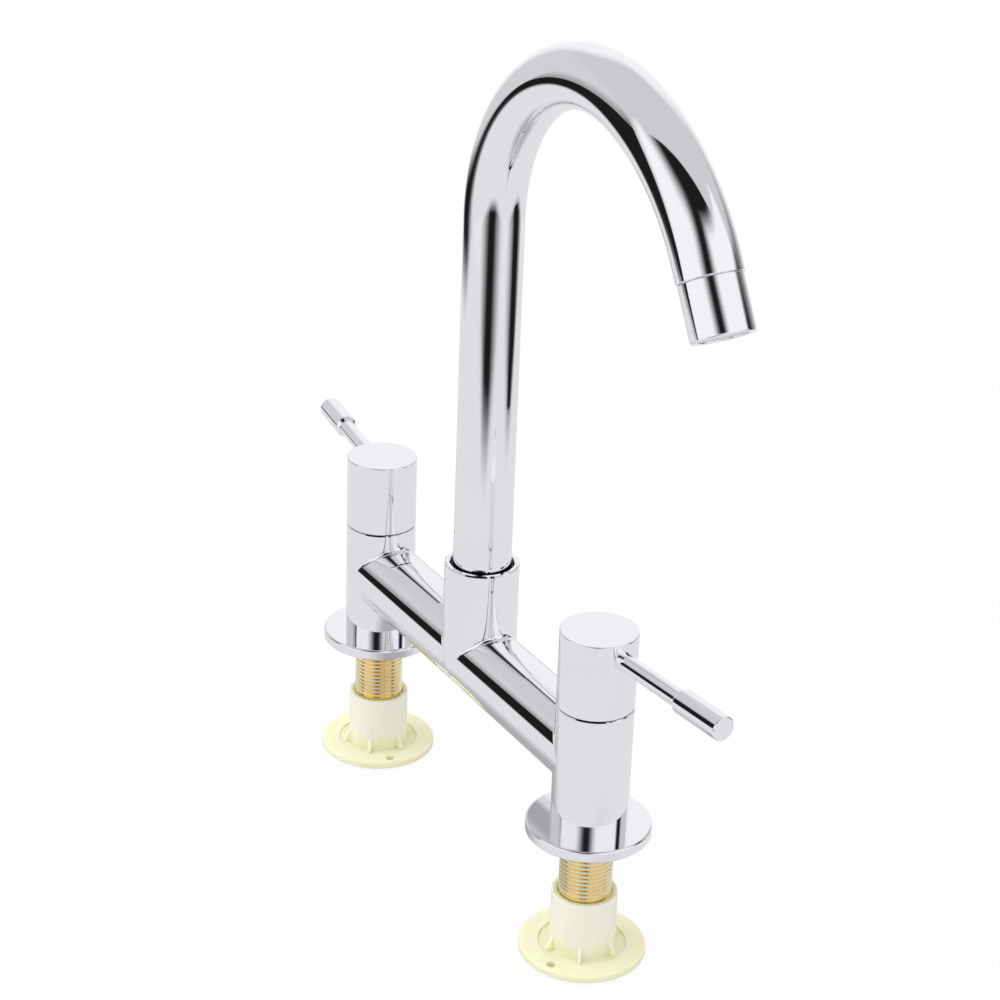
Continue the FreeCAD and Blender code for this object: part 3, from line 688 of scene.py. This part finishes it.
def make_nut():
    """A nut with its webs and its two spanner holes."""
    nut = lathe("nut", [
        (NUT_BORE, NUT_FOOT),
        (NUT_DISC, NUT_FOOT),
        (NUT_DISC, NUT_DISC_TOP),
        (NUT_RECESS, NUT_DISC_TOP),
        (NUT_RECESS, NUT_RECESS_FLOOR),
        (NUT_SLEEVE, NUT_RECESS_FLOOR),
        (NUT_SLEEVE, NUT_TOP),
        (NUT_BORE, NUT_TOP),
    ], hollow=True)
    for edge in NUT_ROUNDS:
        rim(nut, *edge)
    web = make_web()
    for index in range(WEBS):
        copy = twin(web, "web_copy")
        place(copy, turn=index * 360 / WEBS)
        cut(nut, copy, "UNION")
    bpy.data.objects.remove(web)
    for side in (1, -1):
        drill = lathe("drill", [
            (SPANNER_HOLE, NUT_FOOT - SPARE),
            (SPANNER_HOLE, NUT_DISC_TOP + SPARE),
        ], around=SPANNER_AROUND)
        drill.location.x = side * SPANNER_REACH * MM
        set_down(drill)
        place(drill, turn=SPANNER_TURN)
        cut(nut, drill)
    return nut


NUT_BODY = {"cold": "cold_nut", "hot": "hot_nut"}
for_both_sides(make_nut(), "cream_plastic", NUT_BODY, NUT_TURN, "nut", "mounting_nut")

# %% [markdown]
# ## Node tools
# Every finish below is a small graph of shader nodes, and a few helpers keep the graphs short. An
# effect that several finishes use is a node group with named sockets, built once and placed in
# each finish with its own values.

# %% Helpers for nodes
NUMBER = "NodeSocketFloat"


def feed_sockets(tree, made, feeds):
    """Feeds a node's sockets with links or with plain values."""
    for socket, feed in feeds.items():
        if isinstance(feed, bpy.types.NodeSocket):
            tree.links.new(feed, made.inputs[socket])
        else:
            made.inputs[socket].default_value = feed


def node(tree, kind, feeds=None, out=0, **settings):
    """Adds a node, sets it up, feeds its sockets, and gives one output."""
    made = tree.nodes.new(kind)
    for name, value in settings.items():
        setattr(made, name, value)
    feed_sockets(tree, made, feeds or {})
    return made.outputs[out]


def calc(tree, operation, first, second=0.0, third=0.0):
    """One sum on numbers or links."""
    feeds = {0: first, 1: second, 2: third}
    return node(tree, "ShaderNodeMath", feeds, operation=operation)


def length_of(tree, first, second):
    """The length of the long side of a right-angled triangle."""
    squares = calc(tree, "MULTIPLY", second, second)
    return calc(tree, "SQRT", calc(tree, "MULTIPLY_ADD", first, first, squares))


def fade(tree, value, start, end, low=0.0, high=1.0):
    """Goes softly from low to high while the value goes from start to end."""
    feeds = {0: value, 1: start, 2: end, 3: low, 4: high}
    return node(tree, "ShaderNodeMapRange", feeds, interpolation_type="SMOOTHSTEP")


def fade_mm(tree, value, start, end):
    """The same between two sizes in millimetres."""
    return fade(tree, value, start * MM, end * MM)


def blend(tree, share, first, second):
    """Mixes two colours."""
    feeds = {0: share, 6: first, 7: second}
    return node(tree, "ShaderNodeMix", feeds, out=2, data_type="RGBA")


def axes(tree, kind="Object"):
    """The point being shaded, in one kind of coordinates, as X, Y and Z."""
    split = tree.nodes.new("ShaderNodeSeparateXYZ")
    tree.links.new(node(tree, "ShaderNodeTexCoord", out=kind), split.inputs[0])
    return split.outputs


def new_group(name, inputs, outputs):
    """A node group whose sockets are all numbers. Its inputs come with their starting values."""
    tree = bpy.data.node_groups.new(name, "ShaderNodeTree")
    for socket, start in inputs.items():
        made = tree.interface.new_socket(name=socket, in_out="INPUT", socket_type=NUMBER)
        made.default_value = start
    for socket in outputs:
        tree.interface.new_socket(name=socket, in_out="OUTPUT", socket_type=NUMBER)
    given = tree.nodes.new("NodeGroupInput").outputs
    result = tree.nodes.new("NodeGroupOutput").inputs
    print("node group", name)
    return tree, given, result


def use_group(tree, group, feeds=None):
    """Places a group in a graph and gives all its outputs."""
    made = tree.nodes.new("ShaderNodeGroup")
    made.node_tree = group
    feed_sockets(tree, made, feeds or {})
    return made.outputs


def empty_graph(block, kind="Material"):
    """Clears a material's or the world's graph, and gives it with its surface socket."""
    block.use_nodes = True
    tree = block.node_tree
    tree.nodes.clear()
    return tree, tree.nodes.new("ShaderNodeOutput" + kind).inputs["Surface"]


# %% [markdown]
# ## Shared surface effects
# No real surface is perfectly even. Plating has a faint haze and ripple, mouldings are cloudy,
# turned metal carries rings from the tool. Each effect reads Object coordinates, so it stays with
# its piece. A larger fineness gives smaller features. The pieces on the two valves need their
# distance from a valve's own axis, which one more group works out by folding the two sides onto
# each other.

# %% Cloud, turning marks and valve axis
GRAIN_TO_CLOUD = 14.0
CLOUD_CONTRAST = (0.3, 0.7)
RING_DRIFT = 300.0


def cloud_group():
    """Soft, random variation between two values, with a grain for bump."""
    tree, given, result = new_group(
        "Cloud", {"Fineness": 20.0, "Low": 0.0, "High": 1.0}, ("Value", "Grain"))
    spot = node(tree, "ShaderNodeTexCoord", out="Object")
    wide = node(tree, "ShaderNodeTexNoise",
                {"Vector": spot, "Scale": given["Fineness"], "Detail": 3.0, "Roughness": 0.55})
    finer = calc(tree, "MULTIPLY", given["Fineness"], GRAIN_TO_CLOUD)
    grain = node(tree, "ShaderNodeTexNoise",
                 {"Vector": spot, "Scale": finer, "Detail": 2.0, "Roughness": 0.6})
    even = fade(tree, wide, *CLOUD_CONTRAST)
    span = calc(tree, "SUBTRACT", given["High"], given["Low"])
    tree.links.new(calc(tree, "MULTIPLY_ADD", even, span, given["Low"]), result["Value"])
    tree.links.new(grain, result["Grain"])
    return tree


def valve_axis_group():
    """Distance from the nearer valve axis, height, and the turn round the axis."""
    tree, given, result = new_group(
        "Valve_axis", {"Offset": VALVE_X["cold"] * MM}, ("Radius", "Height", "Turn"))
    spot = axes(tree)
    across = calc(tree, "SUBTRACT", calc(tree, "ABSOLUTE", spot["X"]), given["Offset"])
    tree.links.new(length_of(tree, across, spot["Y"]), result["Radius"])
    tree.links.new(spot["Z"], result["Height"])
    tree.links.new(calc(tree, "ARCTAN2", spot["Y"], across), result["Turn"])
    return tree


def turning_group():
    """Fine rings left by a cutting tool, uneven from place to place."""
    tree, given, result = new_group("Turning_marks", {"Fineness": 9000.0}, ("Height",))
    spot = node(tree, "ShaderNodeTexCoord", out="Object")
    drift = node(tree, "ShaderNodeTexNoise", {"Vector": spot, "Scale": RING_DRIFT, "Detail": 2.0})
    phase = calc(tree, "MULTIPLY_ADD", axes(tree)["Z"], given["Fineness"], drift)
    tree.links.new(calc(tree, "SINE", phase), result["Height"])
    return tree


CLOUD = cloud_group()
VALVE_AXIS = valve_axis_group()
TURNING = turning_group()

# %% A finish
MICRON = 1e-6


def finish(name, colour, rough, bump=None, bump_depth=0.0, metal=0.0, **constants):
    """A Principled finish. The constants go straight onto the shader's own sockets.

    Colour, rough and bump are functions that build their part of the graph from the tree."""
    material = bpy.data.materials.new(name)
    tree, surface = empty_graph(material)
    shader = tree.nodes.new("ShaderNodeBsdfPrincipled")
    tree.links.new(shader.outputs[0], surface)
    tree.links.new(colour(tree), shader.inputs["Base Color"])
    tree.links.new(rough(tree), shader.inputs["Roughness"])
    shader.inputs["Metallic"].default_value = metal
    for socket, value in constants.items():
        shader.inputs[socket.replace("_", " ")].default_value = value
    if bump:
        feeds = {"Height": bump(tree), "Strength": 1.0, "Distance": bump_depth}
        tree.links.new(node(tree, "ShaderNodeBump", feeds), shader.inputs["Normal"])
    print("finish", name)
    return material


def cloudy(fineness, low, high, socket="Value"):
    """A number that drifts between low and high over the surface."""
    feeds = {"Fineness": fineness, "Low": low, "High": high}
    return lambda tree: use_group(tree, CLOUD, feeds)[socket]


def grain(fineness):
    """A fine, random height for a moulded or fired skin."""
    return cloudy(fineness, 0.0, 1.0, "Grain")


def two_tone(fineness, first, second):
    """A colour that drifts between two tones."""

    def build(tree):
        share = cloudy(fineness, 0.0, 1.0)(tree)
        return blend(tree, share, (*first, 1), (*second, 1))

    return build


FINISHES = {}

# %% [markdown]
# ## Polished chrome
# Chrome is plated over polished brass. It is a mirror with a faintly blue white, a trace of haze
# that comes and goes, and a very shallow ripple from polishing by hand. Metallic 1 with a low,
# drifting roughness gives that, and a bump a few microns deep gives the ripple.

# %% Chrome
FINISHES["chrome"] = finish(
    "Polished chrome",
    colour=two_tone(9.0, (0.905, 0.905, 0.94), (0.935, 0.93, 0.955)),
    rough=cloudy(16.0, 0.02, 0.055),
    bump=cloudy(45.0, 0.0, 1.0), bump_depth=6 * MICRON, metal=1.0)

# %% [markdown]
# ## Brass
# The shanks are bright cut brass. The plain neck under the flange has tarnished towards copper,
# and the thread's roots carry painted shade, darker and more orange than the crests. The distance
# from the valve's axis tells crest from root. The parts inside are the same metal, turned.

# %% Thread brass and machined brass
# The root colour is painted shade: the thread's hollows are coloured darker and more orange than
# its crests.
CREST_BRASS = (1.0, 0.93, 0.66, 1)
SHADED_ROOT_BRASS = (1.0, 0.77, 0.38, 1)
NECK_COPPER = (0.88, 0.58, 0.42, 1)
TARNISH_DRIFT = 2.0
THREAD_TO_NECK = (THREAD_TOP - 3, THREAD_TOP + 1)


def shank_colour(tree):
    """Brass with painted shade in the thread's roots, and copper above it, with an uneven border.
    """
    axis = use_group(tree, VALVE_AXIS)
    crest = fade_mm(tree, axis["Radius"], ROOT_RADIUS, THREAD_RADIUS)
    thread = blend(tree, crest, SHADED_ROOT_BRASS, CREST_BRASS)
    tarnish = cloudy(150.0, -TARNISH_DRIFT * MM, TARNISH_DRIFT * MM)(tree)
    height = calc(tree, "ADD", axis["Height"], tarnish)
    neck = fade_mm(tree, height, *THREAD_TO_NECK)
    return blend(tree, neck, thread, NECK_COPPER)


def turned(fineness):
    """The height of the rings that a cutting tool leaves."""
    return lambda tree: use_group(tree, TURNING, {"Fineness": fineness})["Height"]


FINISHES["thread_brass"] = finish(
    "Thread brass", shank_colour, cloudy(220.0, 0.09, 0.18),
    bump=turned(52000.0), bump_depth=4 * MICRON, metal=1.0)
FINISHES["machined_brass"] = finish(
    "Machined brass", two_tone(120.0, (0.74, 0.52, 0.25), (0.88, 0.66, 0.34)),
    cloudy(200.0, 0.22, 0.38), bump=turned(30000.0), bump_depth=6 * MICRON, metal=1.0)
FINISHES["spring_steel"] = finish(
    "Spring steel", two_tone(160.0, (0.46, 0.46, 0.47), (0.6, 0.6, 0.61)),
    cloudy(300.0, 0.25, 0.4), bump=turned(40000.0), bump_depth=4 * MICRON, metal=1.0)

# %% [markdown]
# ## Cream plastic nuts
# The nuts are unpigmented nylon: cream where the sleeve is thick, greener and yellower in the thin
# disc, and a strong yellow painted inside the mouth as a painted glow of the light that bounces
# about in the bore. Light also travels a little way under the skin, which the shader's subsurface
# part does. The moulded skin is satin, with a fine grain and faint upright flow lines on the
# sleeve.

# %% Cream plastic
SLEEVE_CREAM = (0.93, 0.89, 0.74, 1)
DISC_CREAM = (0.90, 0.88, 0.60, 1)
# The mouth's yellow is painted light: a glow that stands in for light bouncing about in the bore.
PAINTED_BOUNCE_YELLOW = (0.98, 0.88, 0.34, 1)
CREAM_DRIFT = 4.0
DISC_TO_SLEEVE = (NUT_DISC_TOP - 1, NUT_DISC_TOP + 8)
SKIN_TO_BOUNCE_GLOW = (NUT_SLEEVE - 0.6, NUT_BORE + 0.3)
FLOW_LINES = 44.0
FLOW_DEPTH = 0.5
DISC_TO_FLOW = (NUT_SLEEVE + 1.5, NUT_SLEEVE + 0.5)


def nut_colour(tree):
    """Cream on the sleeve, greener on the disc, painted bounce-light yellow in the mouth, soft
    borders.
    """
    axis = use_group(tree, VALVE_AXIS)
    drift = cloudy(90.0, -CREAM_DRIFT * MM, CREAM_DRIFT * MM)(tree)
    height = calc(tree, "ADD", axis["Height"], drift)
    sleeve = fade_mm(tree, height, *DISC_TO_SLEEVE)
    skin = blend(tree, sleeve, DISC_CREAM, SLEEVE_CREAM)
    inside = fade_mm(tree, axis["Radius"], *SKIN_TO_BOUNCE_GLOW)
    return blend(tree, inside, skin, PAINTED_BOUNCE_YELLOW)


def nut_grain(tree):
    """A fine grain all over, and upright flow lines on the sleeve alone."""
    axis = use_group(tree, VALVE_AXIS)
    lines = calc(tree, "SINE", calc(tree, "MULTIPLY", axis["Turn"], FLOW_LINES))
    lines = calc(tree, "MULTIPLY", lines, fade_mm(tree, axis["Radius"], *DISC_TO_FLOW))
    return calc(tree, "MULTIPLY_ADD", lines, FLOW_DEPTH, grain(160.0)(tree))


FINISHES["cream_plastic"] = finish(
    "Cream plastic", nut_colour, cloudy(140.0, 0.32, 0.46), bump=nut_grain,
    bump_depth=40 * MICRON, Subsurface_Weight=0.5, Subsurface_Scale=0.005,
    Subsurface_Radius=(1.0, 0.8, 0.35))

# %% [markdown]
# ## Parts inside
# White and dark plastics, ceramic and rubber sit inside the valves and the spout's foot, and show
# only when the tap is taken apart. They still get their own finishes, each a little uneven.

# %% Plastics, ceramic and rubber
FINISHES["white_plastic"] = finish(
    "White plastic", two_tone(60.0, (0.78, 0.78, 0.76), (0.86, 0.86, 0.84)),
    cloudy(120.0, 0.34, 0.46), bump=grain(200.0), bump_depth=30 * MICRON)
FINISHES["dark_plastic"] = finish(
    "Dark plastic", two_tone(60.0, (0.022, 0.023, 0.025), (0.045, 0.046, 0.05)),
    cloudy(120.0, 0.36, 0.5), bump=grain(200.0), bump_depth=30 * MICRON)
FINISHES["white_ceramic"] = finish(
    "White ceramic", two_tone(80.0, (0.84, 0.83, 0.80), (0.90, 0.90, 0.88)),
    cloudy(100.0, 0.12, 0.2), bump=grain(400.0), bump_depth=10 * MICRON)
FINISHES["black_rubber"] = finish(
    "Black rubber", two_tone(70.0, (0.014, 0.014, 0.015), (0.03, 0.03, 0.031)),
    cloudy(150.0, 0.55, 0.72), bump=grain(260.0), bump_depth=50 * MICRON)

# %% Give every piece its finish
NODE_SLOT = {part["node"]: part["material_slot"] for part in frame["record"]["subparts"]}
for name, thing in frame["nodes"].items():
    thing.data.materials.clear()
    thing.data.materials.append(FINISHES[NODE_SLOT[name]])
for piece, slot in DRESSED:
    piece.data.materials.clear()
    piece.data.materials.append(FINISHES[slot])
print(len(frame["nodes"]), "nodes and", len(DRESSED), "new pieces have their finish")

# %% [markdown]
# ## Studio
# Polished chrome has no look of its own: it shows the room. The picture's room can be read from
# the object. Upright cylinders mirror a pale table out to half a metre, and beyond it stand tall
# walls of white light, with dark gaps between them. The widest gap is beside the camera. A paler
# panel hangs overhead, with a dark wedge between it and the walls. The walls fill the world, and
# a second, nearer set of them is drawn on the far part of the table, where reflections that look
# slightly down still have to see them. Two dark cards stand in between. Only reflections see all
# this. The camera and the matt surfaces get an even white.

# %% One wall of light


def wall_group():
    """A wall of light: full inside its width and under its top edge, softly out beyond them."""
    tree, given, result = new_group(
        "Light_wall",
        {"Bearing": 0.0, "Elevation": 0.0, "Centre": 0.0, "Full to": 30.0, "Gone at": 38.0,
         "Full up to": 60.0, "Gone above": 70.0, "Glow": 1.0},
        ("Glow",))
    away = calc(tree, "SUBTRACT", given["Bearing"], given["Centre"])
    away = calc(tree, "ABSOLUTE", calc(tree, "WRAP", away, 180.0, -180.0))
    side = fade(tree, away, given["Gone at"], given["Full to"])
    top = fade(tree, given["Elevation"], given["Gone above"], given["Full up to"])
    glow = calc(tree, "MULTIPLY", calc(tree, "MULTIPLY", side, top), given["Glow"])
    tree.links.new(glow, result["Glow"])
    return tree


LIGHT_WALL = wall_group()

# %% The room as reflections see it
# Each wall: bearing of its middle, full to and gone at (degrees aside), full up to and gone above
# (degrees up), and its glow. The near walls are drawn on the table, up to the far ones.
FAR_WALLS = {
    "left of the camera": (-76.0, 38.0, 56.0, 28.0, 56.0, 0.97),
    "right of the camera": (22.0, 42.0, 70.0, 42.0, 56.0, 0.97),
    "behind": (146.0, 14.0, 70.0, 30.0, 75.0, 0.95),
    "far left": (-165.0, 34.0, 46.0, 20.0, 90.0, 0.68),
}
NEAR_WALLS = {
    "left of the camera": (-95.0, 10.0, 53.0, 28.0, 56.0, 0.88),
    "right of the camera": (12.0, 4.0, 46.0, 42.0, 56.0, 0.84),
    "behind": (128.0, 28.0, 62.0, 20.0, 60.0, 0.97),
}
# Each shade takes light away, and has the same six values, the last one being how dark it is.
FAR_SHADES = {"beside the camera": (-38.0, 4.0, 34.0, 50.0, 65.0, 0.99)}
NEAR_SHADES = {"beside the camera": (-38.0, 2.0, 13.0, 50.0, 65.0, 0.98)}
# The far shade hangs above eye level, and comes in softly between these two elevations.
SHADE_STARTS = (14.0, 24.0)
ROOM_DARK = 0.012
ROOM_TINT = (0.992, 0.985, 1.0, 1)
WHITE = (1, 1, 1, 1)


def room_group(title, walls, shades, shades_start=None):
    """How bright a set of walls is at a bearing and elevation, less its shades."""
    tree, given, result = new_group(title, {"Bearing": 0.0, "Elevation": 0.0}, ("Glow",))
    total = None

    def glow_of(sizes):
        names = ("Centre", "Full to", "Gone at", "Full up to", "Gone above", "Glow")
        return use_group(tree, LIGHT_WALL, {
            "Bearing": given["Bearing"], "Elevation": given["Elevation"],
            **dict(zip(names, sizes))})["Glow"]

    for wall in walls.values():
        glow = glow_of(wall)
        total = calc(tree, "MAXIMUM", total, glow) if total else glow
    for shade in shades.values():
        dark = glow_of(shade)
        if shades_start:
            dark = calc(tree, "MULTIPLY", dark, fade(tree, given["Elevation"], *shades_start))
        total = calc(tree, "MULTIPLY", total, calc(tree, "SUBTRACT", 1.0, dark))
    tree.links.new(total, result["Glow"])
    return tree


FAR_ROOM = room_group("Far_room", FAR_WALLS, FAR_SHADES, SHADE_STARTS)
NEAR_ROOM = room_group("Near_room", NEAR_WALLS, NEAR_SHADES)


def bearing_of(tree, x, y):
    """The bearing of a place or a direction, in degrees from +X."""
    return calc(tree, "DEGREES", calc(tree, "ARCTAN2", y, x))


# %% The world
# The panel's edge is a line on a ceiling one unit up: north = slope * east - shift.
OVERHEAD_SLOPE = 1.475
OVERHEAD_SHIFT = 0.577
OVERHEAD_EDGE = (-0.02, 0.03)
OVERHEAD_GLOW = 0.64
OVERHEAD_FULL = 24.0
LEAST_HEIGHT = 0.02
WORLD_LIGHT = 1.05


def overhead(tree, x, y, z, elevation):
    """The ceiling panel: on one side of a straight edge, fading out towards the horizon."""
    safe = calc(tree, "MAXIMUM", z, LEAST_HEIGHT)
    east = calc(tree, "DIVIDE", x, safe)
    north = calc(tree, "DIVIDE", y, safe)
    inside = calc(tree, "SUBTRACT", calc(tree, "ADD", north, OVERHEAD_SHIFT),
                  calc(tree, "MULTIPLY", east, OVERHEAD_SLOPE))
    edge = fade(tree, inside, *OVERHEAD_EDGE)
    low = fade(tree, elevation, 0.0, OVERHEAD_FULL, 0.0, OVERHEAD_GLOW)
    return calc(tree, "MULTIPLY", edge, low)


def room_glow(tree, x, y, z):
    """How bright the room is in a direction."""
    elevation = calc(tree, "DEGREES", calc(tree, "ARCSINE", z))
    walls = use_group(tree, FAR_ROOM, {"Bearing": bearing_of(tree, x, y), "Elevation": elevation})
    glow = calc(tree, "MAXIMUM", walls["Glow"], overhead(tree, x, y, z, elevation))
    return calc(tree, "MAXIMUM", glow, ROOM_DARK)


def build_world():
    """The room for reflections, plain white for the camera and even light for the rest."""
    world = bpy.data.worlds.new("Studio")
    tree, surface = empty_graph(world, "World")
    glow = room_glow(tree, *axes(tree, "Generated"))
    room = node(tree, "ShaderNodeBackground", {"Color": ROOM_TINT, "Strength": glow})
    even = node(tree, "ShaderNodeBackground", {"Color": WHITE, "Strength": WORLD_LIGHT})
    white = node(tree, "ShaderNodeBackground", {"Color": WHITE, "Strength": 1.0})
    path = tree.nodes.new("ShaderNodeLightPath").outputs
    seen = node(tree, "ShaderNodeMixShader", {0: path["Is Camera Ray"], 1: even, 2: white})
    mixed = node(tree, "ShaderNodeMixShader", {0: path["Is Glossy Ray"], 1: seen, 2: room})
    tree.links.new(mixed, surface)
    bpy.context.scene.world = world


build_world()
print("world", bpy.context.scene.world.name)

# %% [markdown]
# ## Table
# The tap stands on the feet of its shanks. The camera sees the table nearly white, with a faint
# shadow under the tap. Reflections see a pale disc round the tap, darker in the shadow, and past
# its soft edge they see the walls of the room as if the table ended there.

# %% Table
FLOOR_HEIGHT = SHANK_FOOT * MM
FLOOR_SIZE = 14.0
TABLE_GREY = (0.78, 0.78, 0.78, 1)
TABLE_NEAR = 0.80
TABLE_MIDDLE = (-0.165, 0.0)
TABLE_EDGE = (0.50, 0.70)
EDGE_SPREAD = 0.25
NEAR_ROOM_ENDS = (1.0, 1.5)
SHADOW_REACH = (0.17, 0.075)
SHADOW_ENDS = (0.4, 1.5)
SHADOW_DEPTH = 0.45
CAMERA_WHITE = 0.93


def table_material():
    """Matt table with a shadow; near white for the camera; table and room for reflections."""
    material = bpy.data.materials.new("Pale table")
    tree, surface = empty_graph(material)
    x, y, _ = axes(tree)
    bearing = bearing_of(tree, x, y)
    close = use_group(tree, NEAR_ROOM, {"Bearing": bearing, "Elevation": 0.0})["Glow"]
    distant = use_group(tree, FAR_ROOM, {"Bearing": bearing, "Elevation": 0.0})["Glow"]
    away = fade(tree, length_of(tree, x, y), *NEAR_ROOM_ENDS)
    room = calc(tree, "MULTIPLY_ADD", calc(tree, "SUBTRACT", distant, close), away, close)
    aside = calc(tree, "SUBTRACT", x, TABLE_MIDDLE[0])
    ahead = calc(tree, "SUBTRACT", y, TABLE_MIDDLE[1])
    reach = length_of(tree, aside, ahead)
    reach = calc(tree, "MULTIPLY_ADD", room, -EDGE_SPREAD, reach)
    far = fade(tree, reach, *TABLE_EDGE)
    under = length_of(tree, calc(tree, "DIVIDE", x, SHADOW_REACH[0]),
                      calc(tree, "DIVIDE", y, SHADOW_REACH[1]))
    near = fade(tree, under, *SHADOW_ENDS, TABLE_NEAR * (1 - SHADOW_DEPTH), TABLE_NEAR)
    near = calc(tree, "MULTIPLY", near, calc(tree, "SUBTRACT", 1.0, far))
    glow = calc(tree, "MULTIPLY_ADD", room, far, near)
    glow = calc(tree, "MAXIMUM", glow, ROOM_DARK)
    seen = node(tree, "ShaderNodeEmission", {"Color": ROOM_TINT, "Strength": glow})
    matt = node(tree, "ShaderNodeBsdfDiffuse", {"Color": TABLE_GREY})
    white = node(tree, "ShaderNodeEmission", {"Color": WHITE, "Strength": 1.0})
    path = tree.nodes.new("ShaderNodeLightPath").outputs
    share = calc(tree, "MULTIPLY", path["Is Camera Ray"], CAMERA_WHITE)
    lit = node(tree, "ShaderNodeMixShader", {0: share, 1: matt, 2: white})
    mixed = node(tree, "ShaderNodeMixShader", {0: path["Is Glossy Ray"], 1: lit, 2: seen})
    tree.links.new(mixed, surface)
    return material


bpy.ops.object.select_all(action="DESELECT")
bpy.ops.mesh.primitive_plane_add(size=FLOOR_SIZE, location=(0, 0, FLOOR_HEIGHT))
floor = bpy.context.object
floor.name = "Floor"
floor.data.materials.append(table_material())
floor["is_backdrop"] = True
print("table", FLOOR_SIZE, "m wide, at", FLOOR_HEIGHT, "m")

# %% [markdown]
# ## Dark cards
# Two dark cards stand close enough to shift against the walls as the eye moves over the object.
# The one at the far left has a slanted top and a grey veil over it: it gives the sharp black band
# along the bridge and the levers. The one at the right is a narrow stand with soft sides, which
# widens the dark stripe up the riser. An attribute named along holds each point's place along
# the card, and the material reads it.

# %% Dark cards
# Each card: bearing, distance, width, height of its black part in the middle, slant of its top,
# height and depth of the veil above, and how much of its half width is soft.
CARDS = {
    "Dark_card": (-133.0, 0.95, 0.58, 0.31, 0.95, 0.26, 0.45, 0.10),
    "Dark_stand": (57.0, 0.50, 0.24, 0.33, 0.0, 0.10, 1.0, 0.7),
}
CARD_LIFT = 0.001


def card_material(name, width, black_to, slant, veil_height, veil, soft):
    """Near black up to the slanted top, a fading veil above it, and see-through beyond."""
    material = bpy.data.materials.new(name)
    tree, surface = empty_graph(material)
    along = node(tree, "ShaderNodeAttribute", out="Fac")
    along.node.attribute_type = "GEOMETRY"
    along.node.attribute_name = "along"
    top = calc(tree, "MULTIPLY_ADD", along, slant, black_to)
    over = calc(tree, "SUBTRACT", axes(tree)["Z"], top)
    cover = fade(tree, over, 0.0, veil_height, veil, 0.0)
    cover = calc(tree, "MAXIMUM", cover, calc(tree, "LESS_THAN", over, 0.0))
    aside = calc(tree, "DIVIDE", calc(tree, "ABSOLUTE", along), width / 2)
    cover = calc(tree, "MULTIPLY", cover, fade(tree, aside, 1.0, 1.0 - soft))
    clear = node(tree, "ShaderNodeBsdfTransparent")
    dark = node(tree, "ShaderNodeEmission", {"Strength": ROOM_DARK})
    tree.links.new(node(tree, "ShaderNodeMixShader", {0: cover, 1: clear, 2: dark}), surface)
    return material


def make_card(name, bearing, distance, width, black_to, slant, veil_height, veil, soft):
    """Stands one card upright on the table, facing the tap, for reflections only."""
    angle = math.radians(bearing)
    tall = black_to + slant * width / 2 + veil_height - FLOOR_HEIGHT
    bpy.ops.object.select_all(action="DESELECT")
    bpy.ops.mesh.primitive_plane_add(
        size=1, rotation=(math.pi / 2, 0, angle + math.pi / 2),
        location=(distance * math.cos(angle), distance * math.sin(angle),
                  FLOOR_HEIGHT + tall / 2 + CARD_LIFT))
    card = bpy.context.object
    card.name = name
    card.scale = (width, tall, 1)
    set_down(card)
    along = card.data.attributes.new("along", "FLOAT", "POINT")
    for corner, vertex in zip(along.data, card.data.vertices):
        corner.value = vertex.co.x * -math.sin(angle) + vertex.co.y * math.cos(angle)
    card.data.materials.append(
        card_material(name, width, black_to, slant, veil_height, veil, soft))
    card.visible_camera = False
    card.visible_diffuse = False
    card.visible_shadow = False
    card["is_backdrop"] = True
    print(name, round(tall, 2), "m tall, at", distance, "m")


for name, sizes in CARDS.items():
    make_card(name, *sizes)

# %% Key light
KEY_PLACE = Vector((-0.45, -0.8, 1.2))
KEY_AIM = Vector((0, 0, 0.05))
KEY_SIZE = 0.9
KEY_POWER = 6.0

bpy.ops.object.light_add(type="AREA", location=KEY_PLACE)
key = bpy.context.object
key.name = "Key_light"
key.data.shape = "SQUARE"
key.data.size = KEY_SIZE
key.data.energy = KEY_POWER
key.rotation_euler = (KEY_AIM - KEY_PLACE).to_track_quat("-Z", "Y").to_euler()
key.visible_glossy = False
print("lights:", [light.name for light in bpy.data.lights])

sizes = {"cad": cad_bounds, "visual": [list(corner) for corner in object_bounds()]}
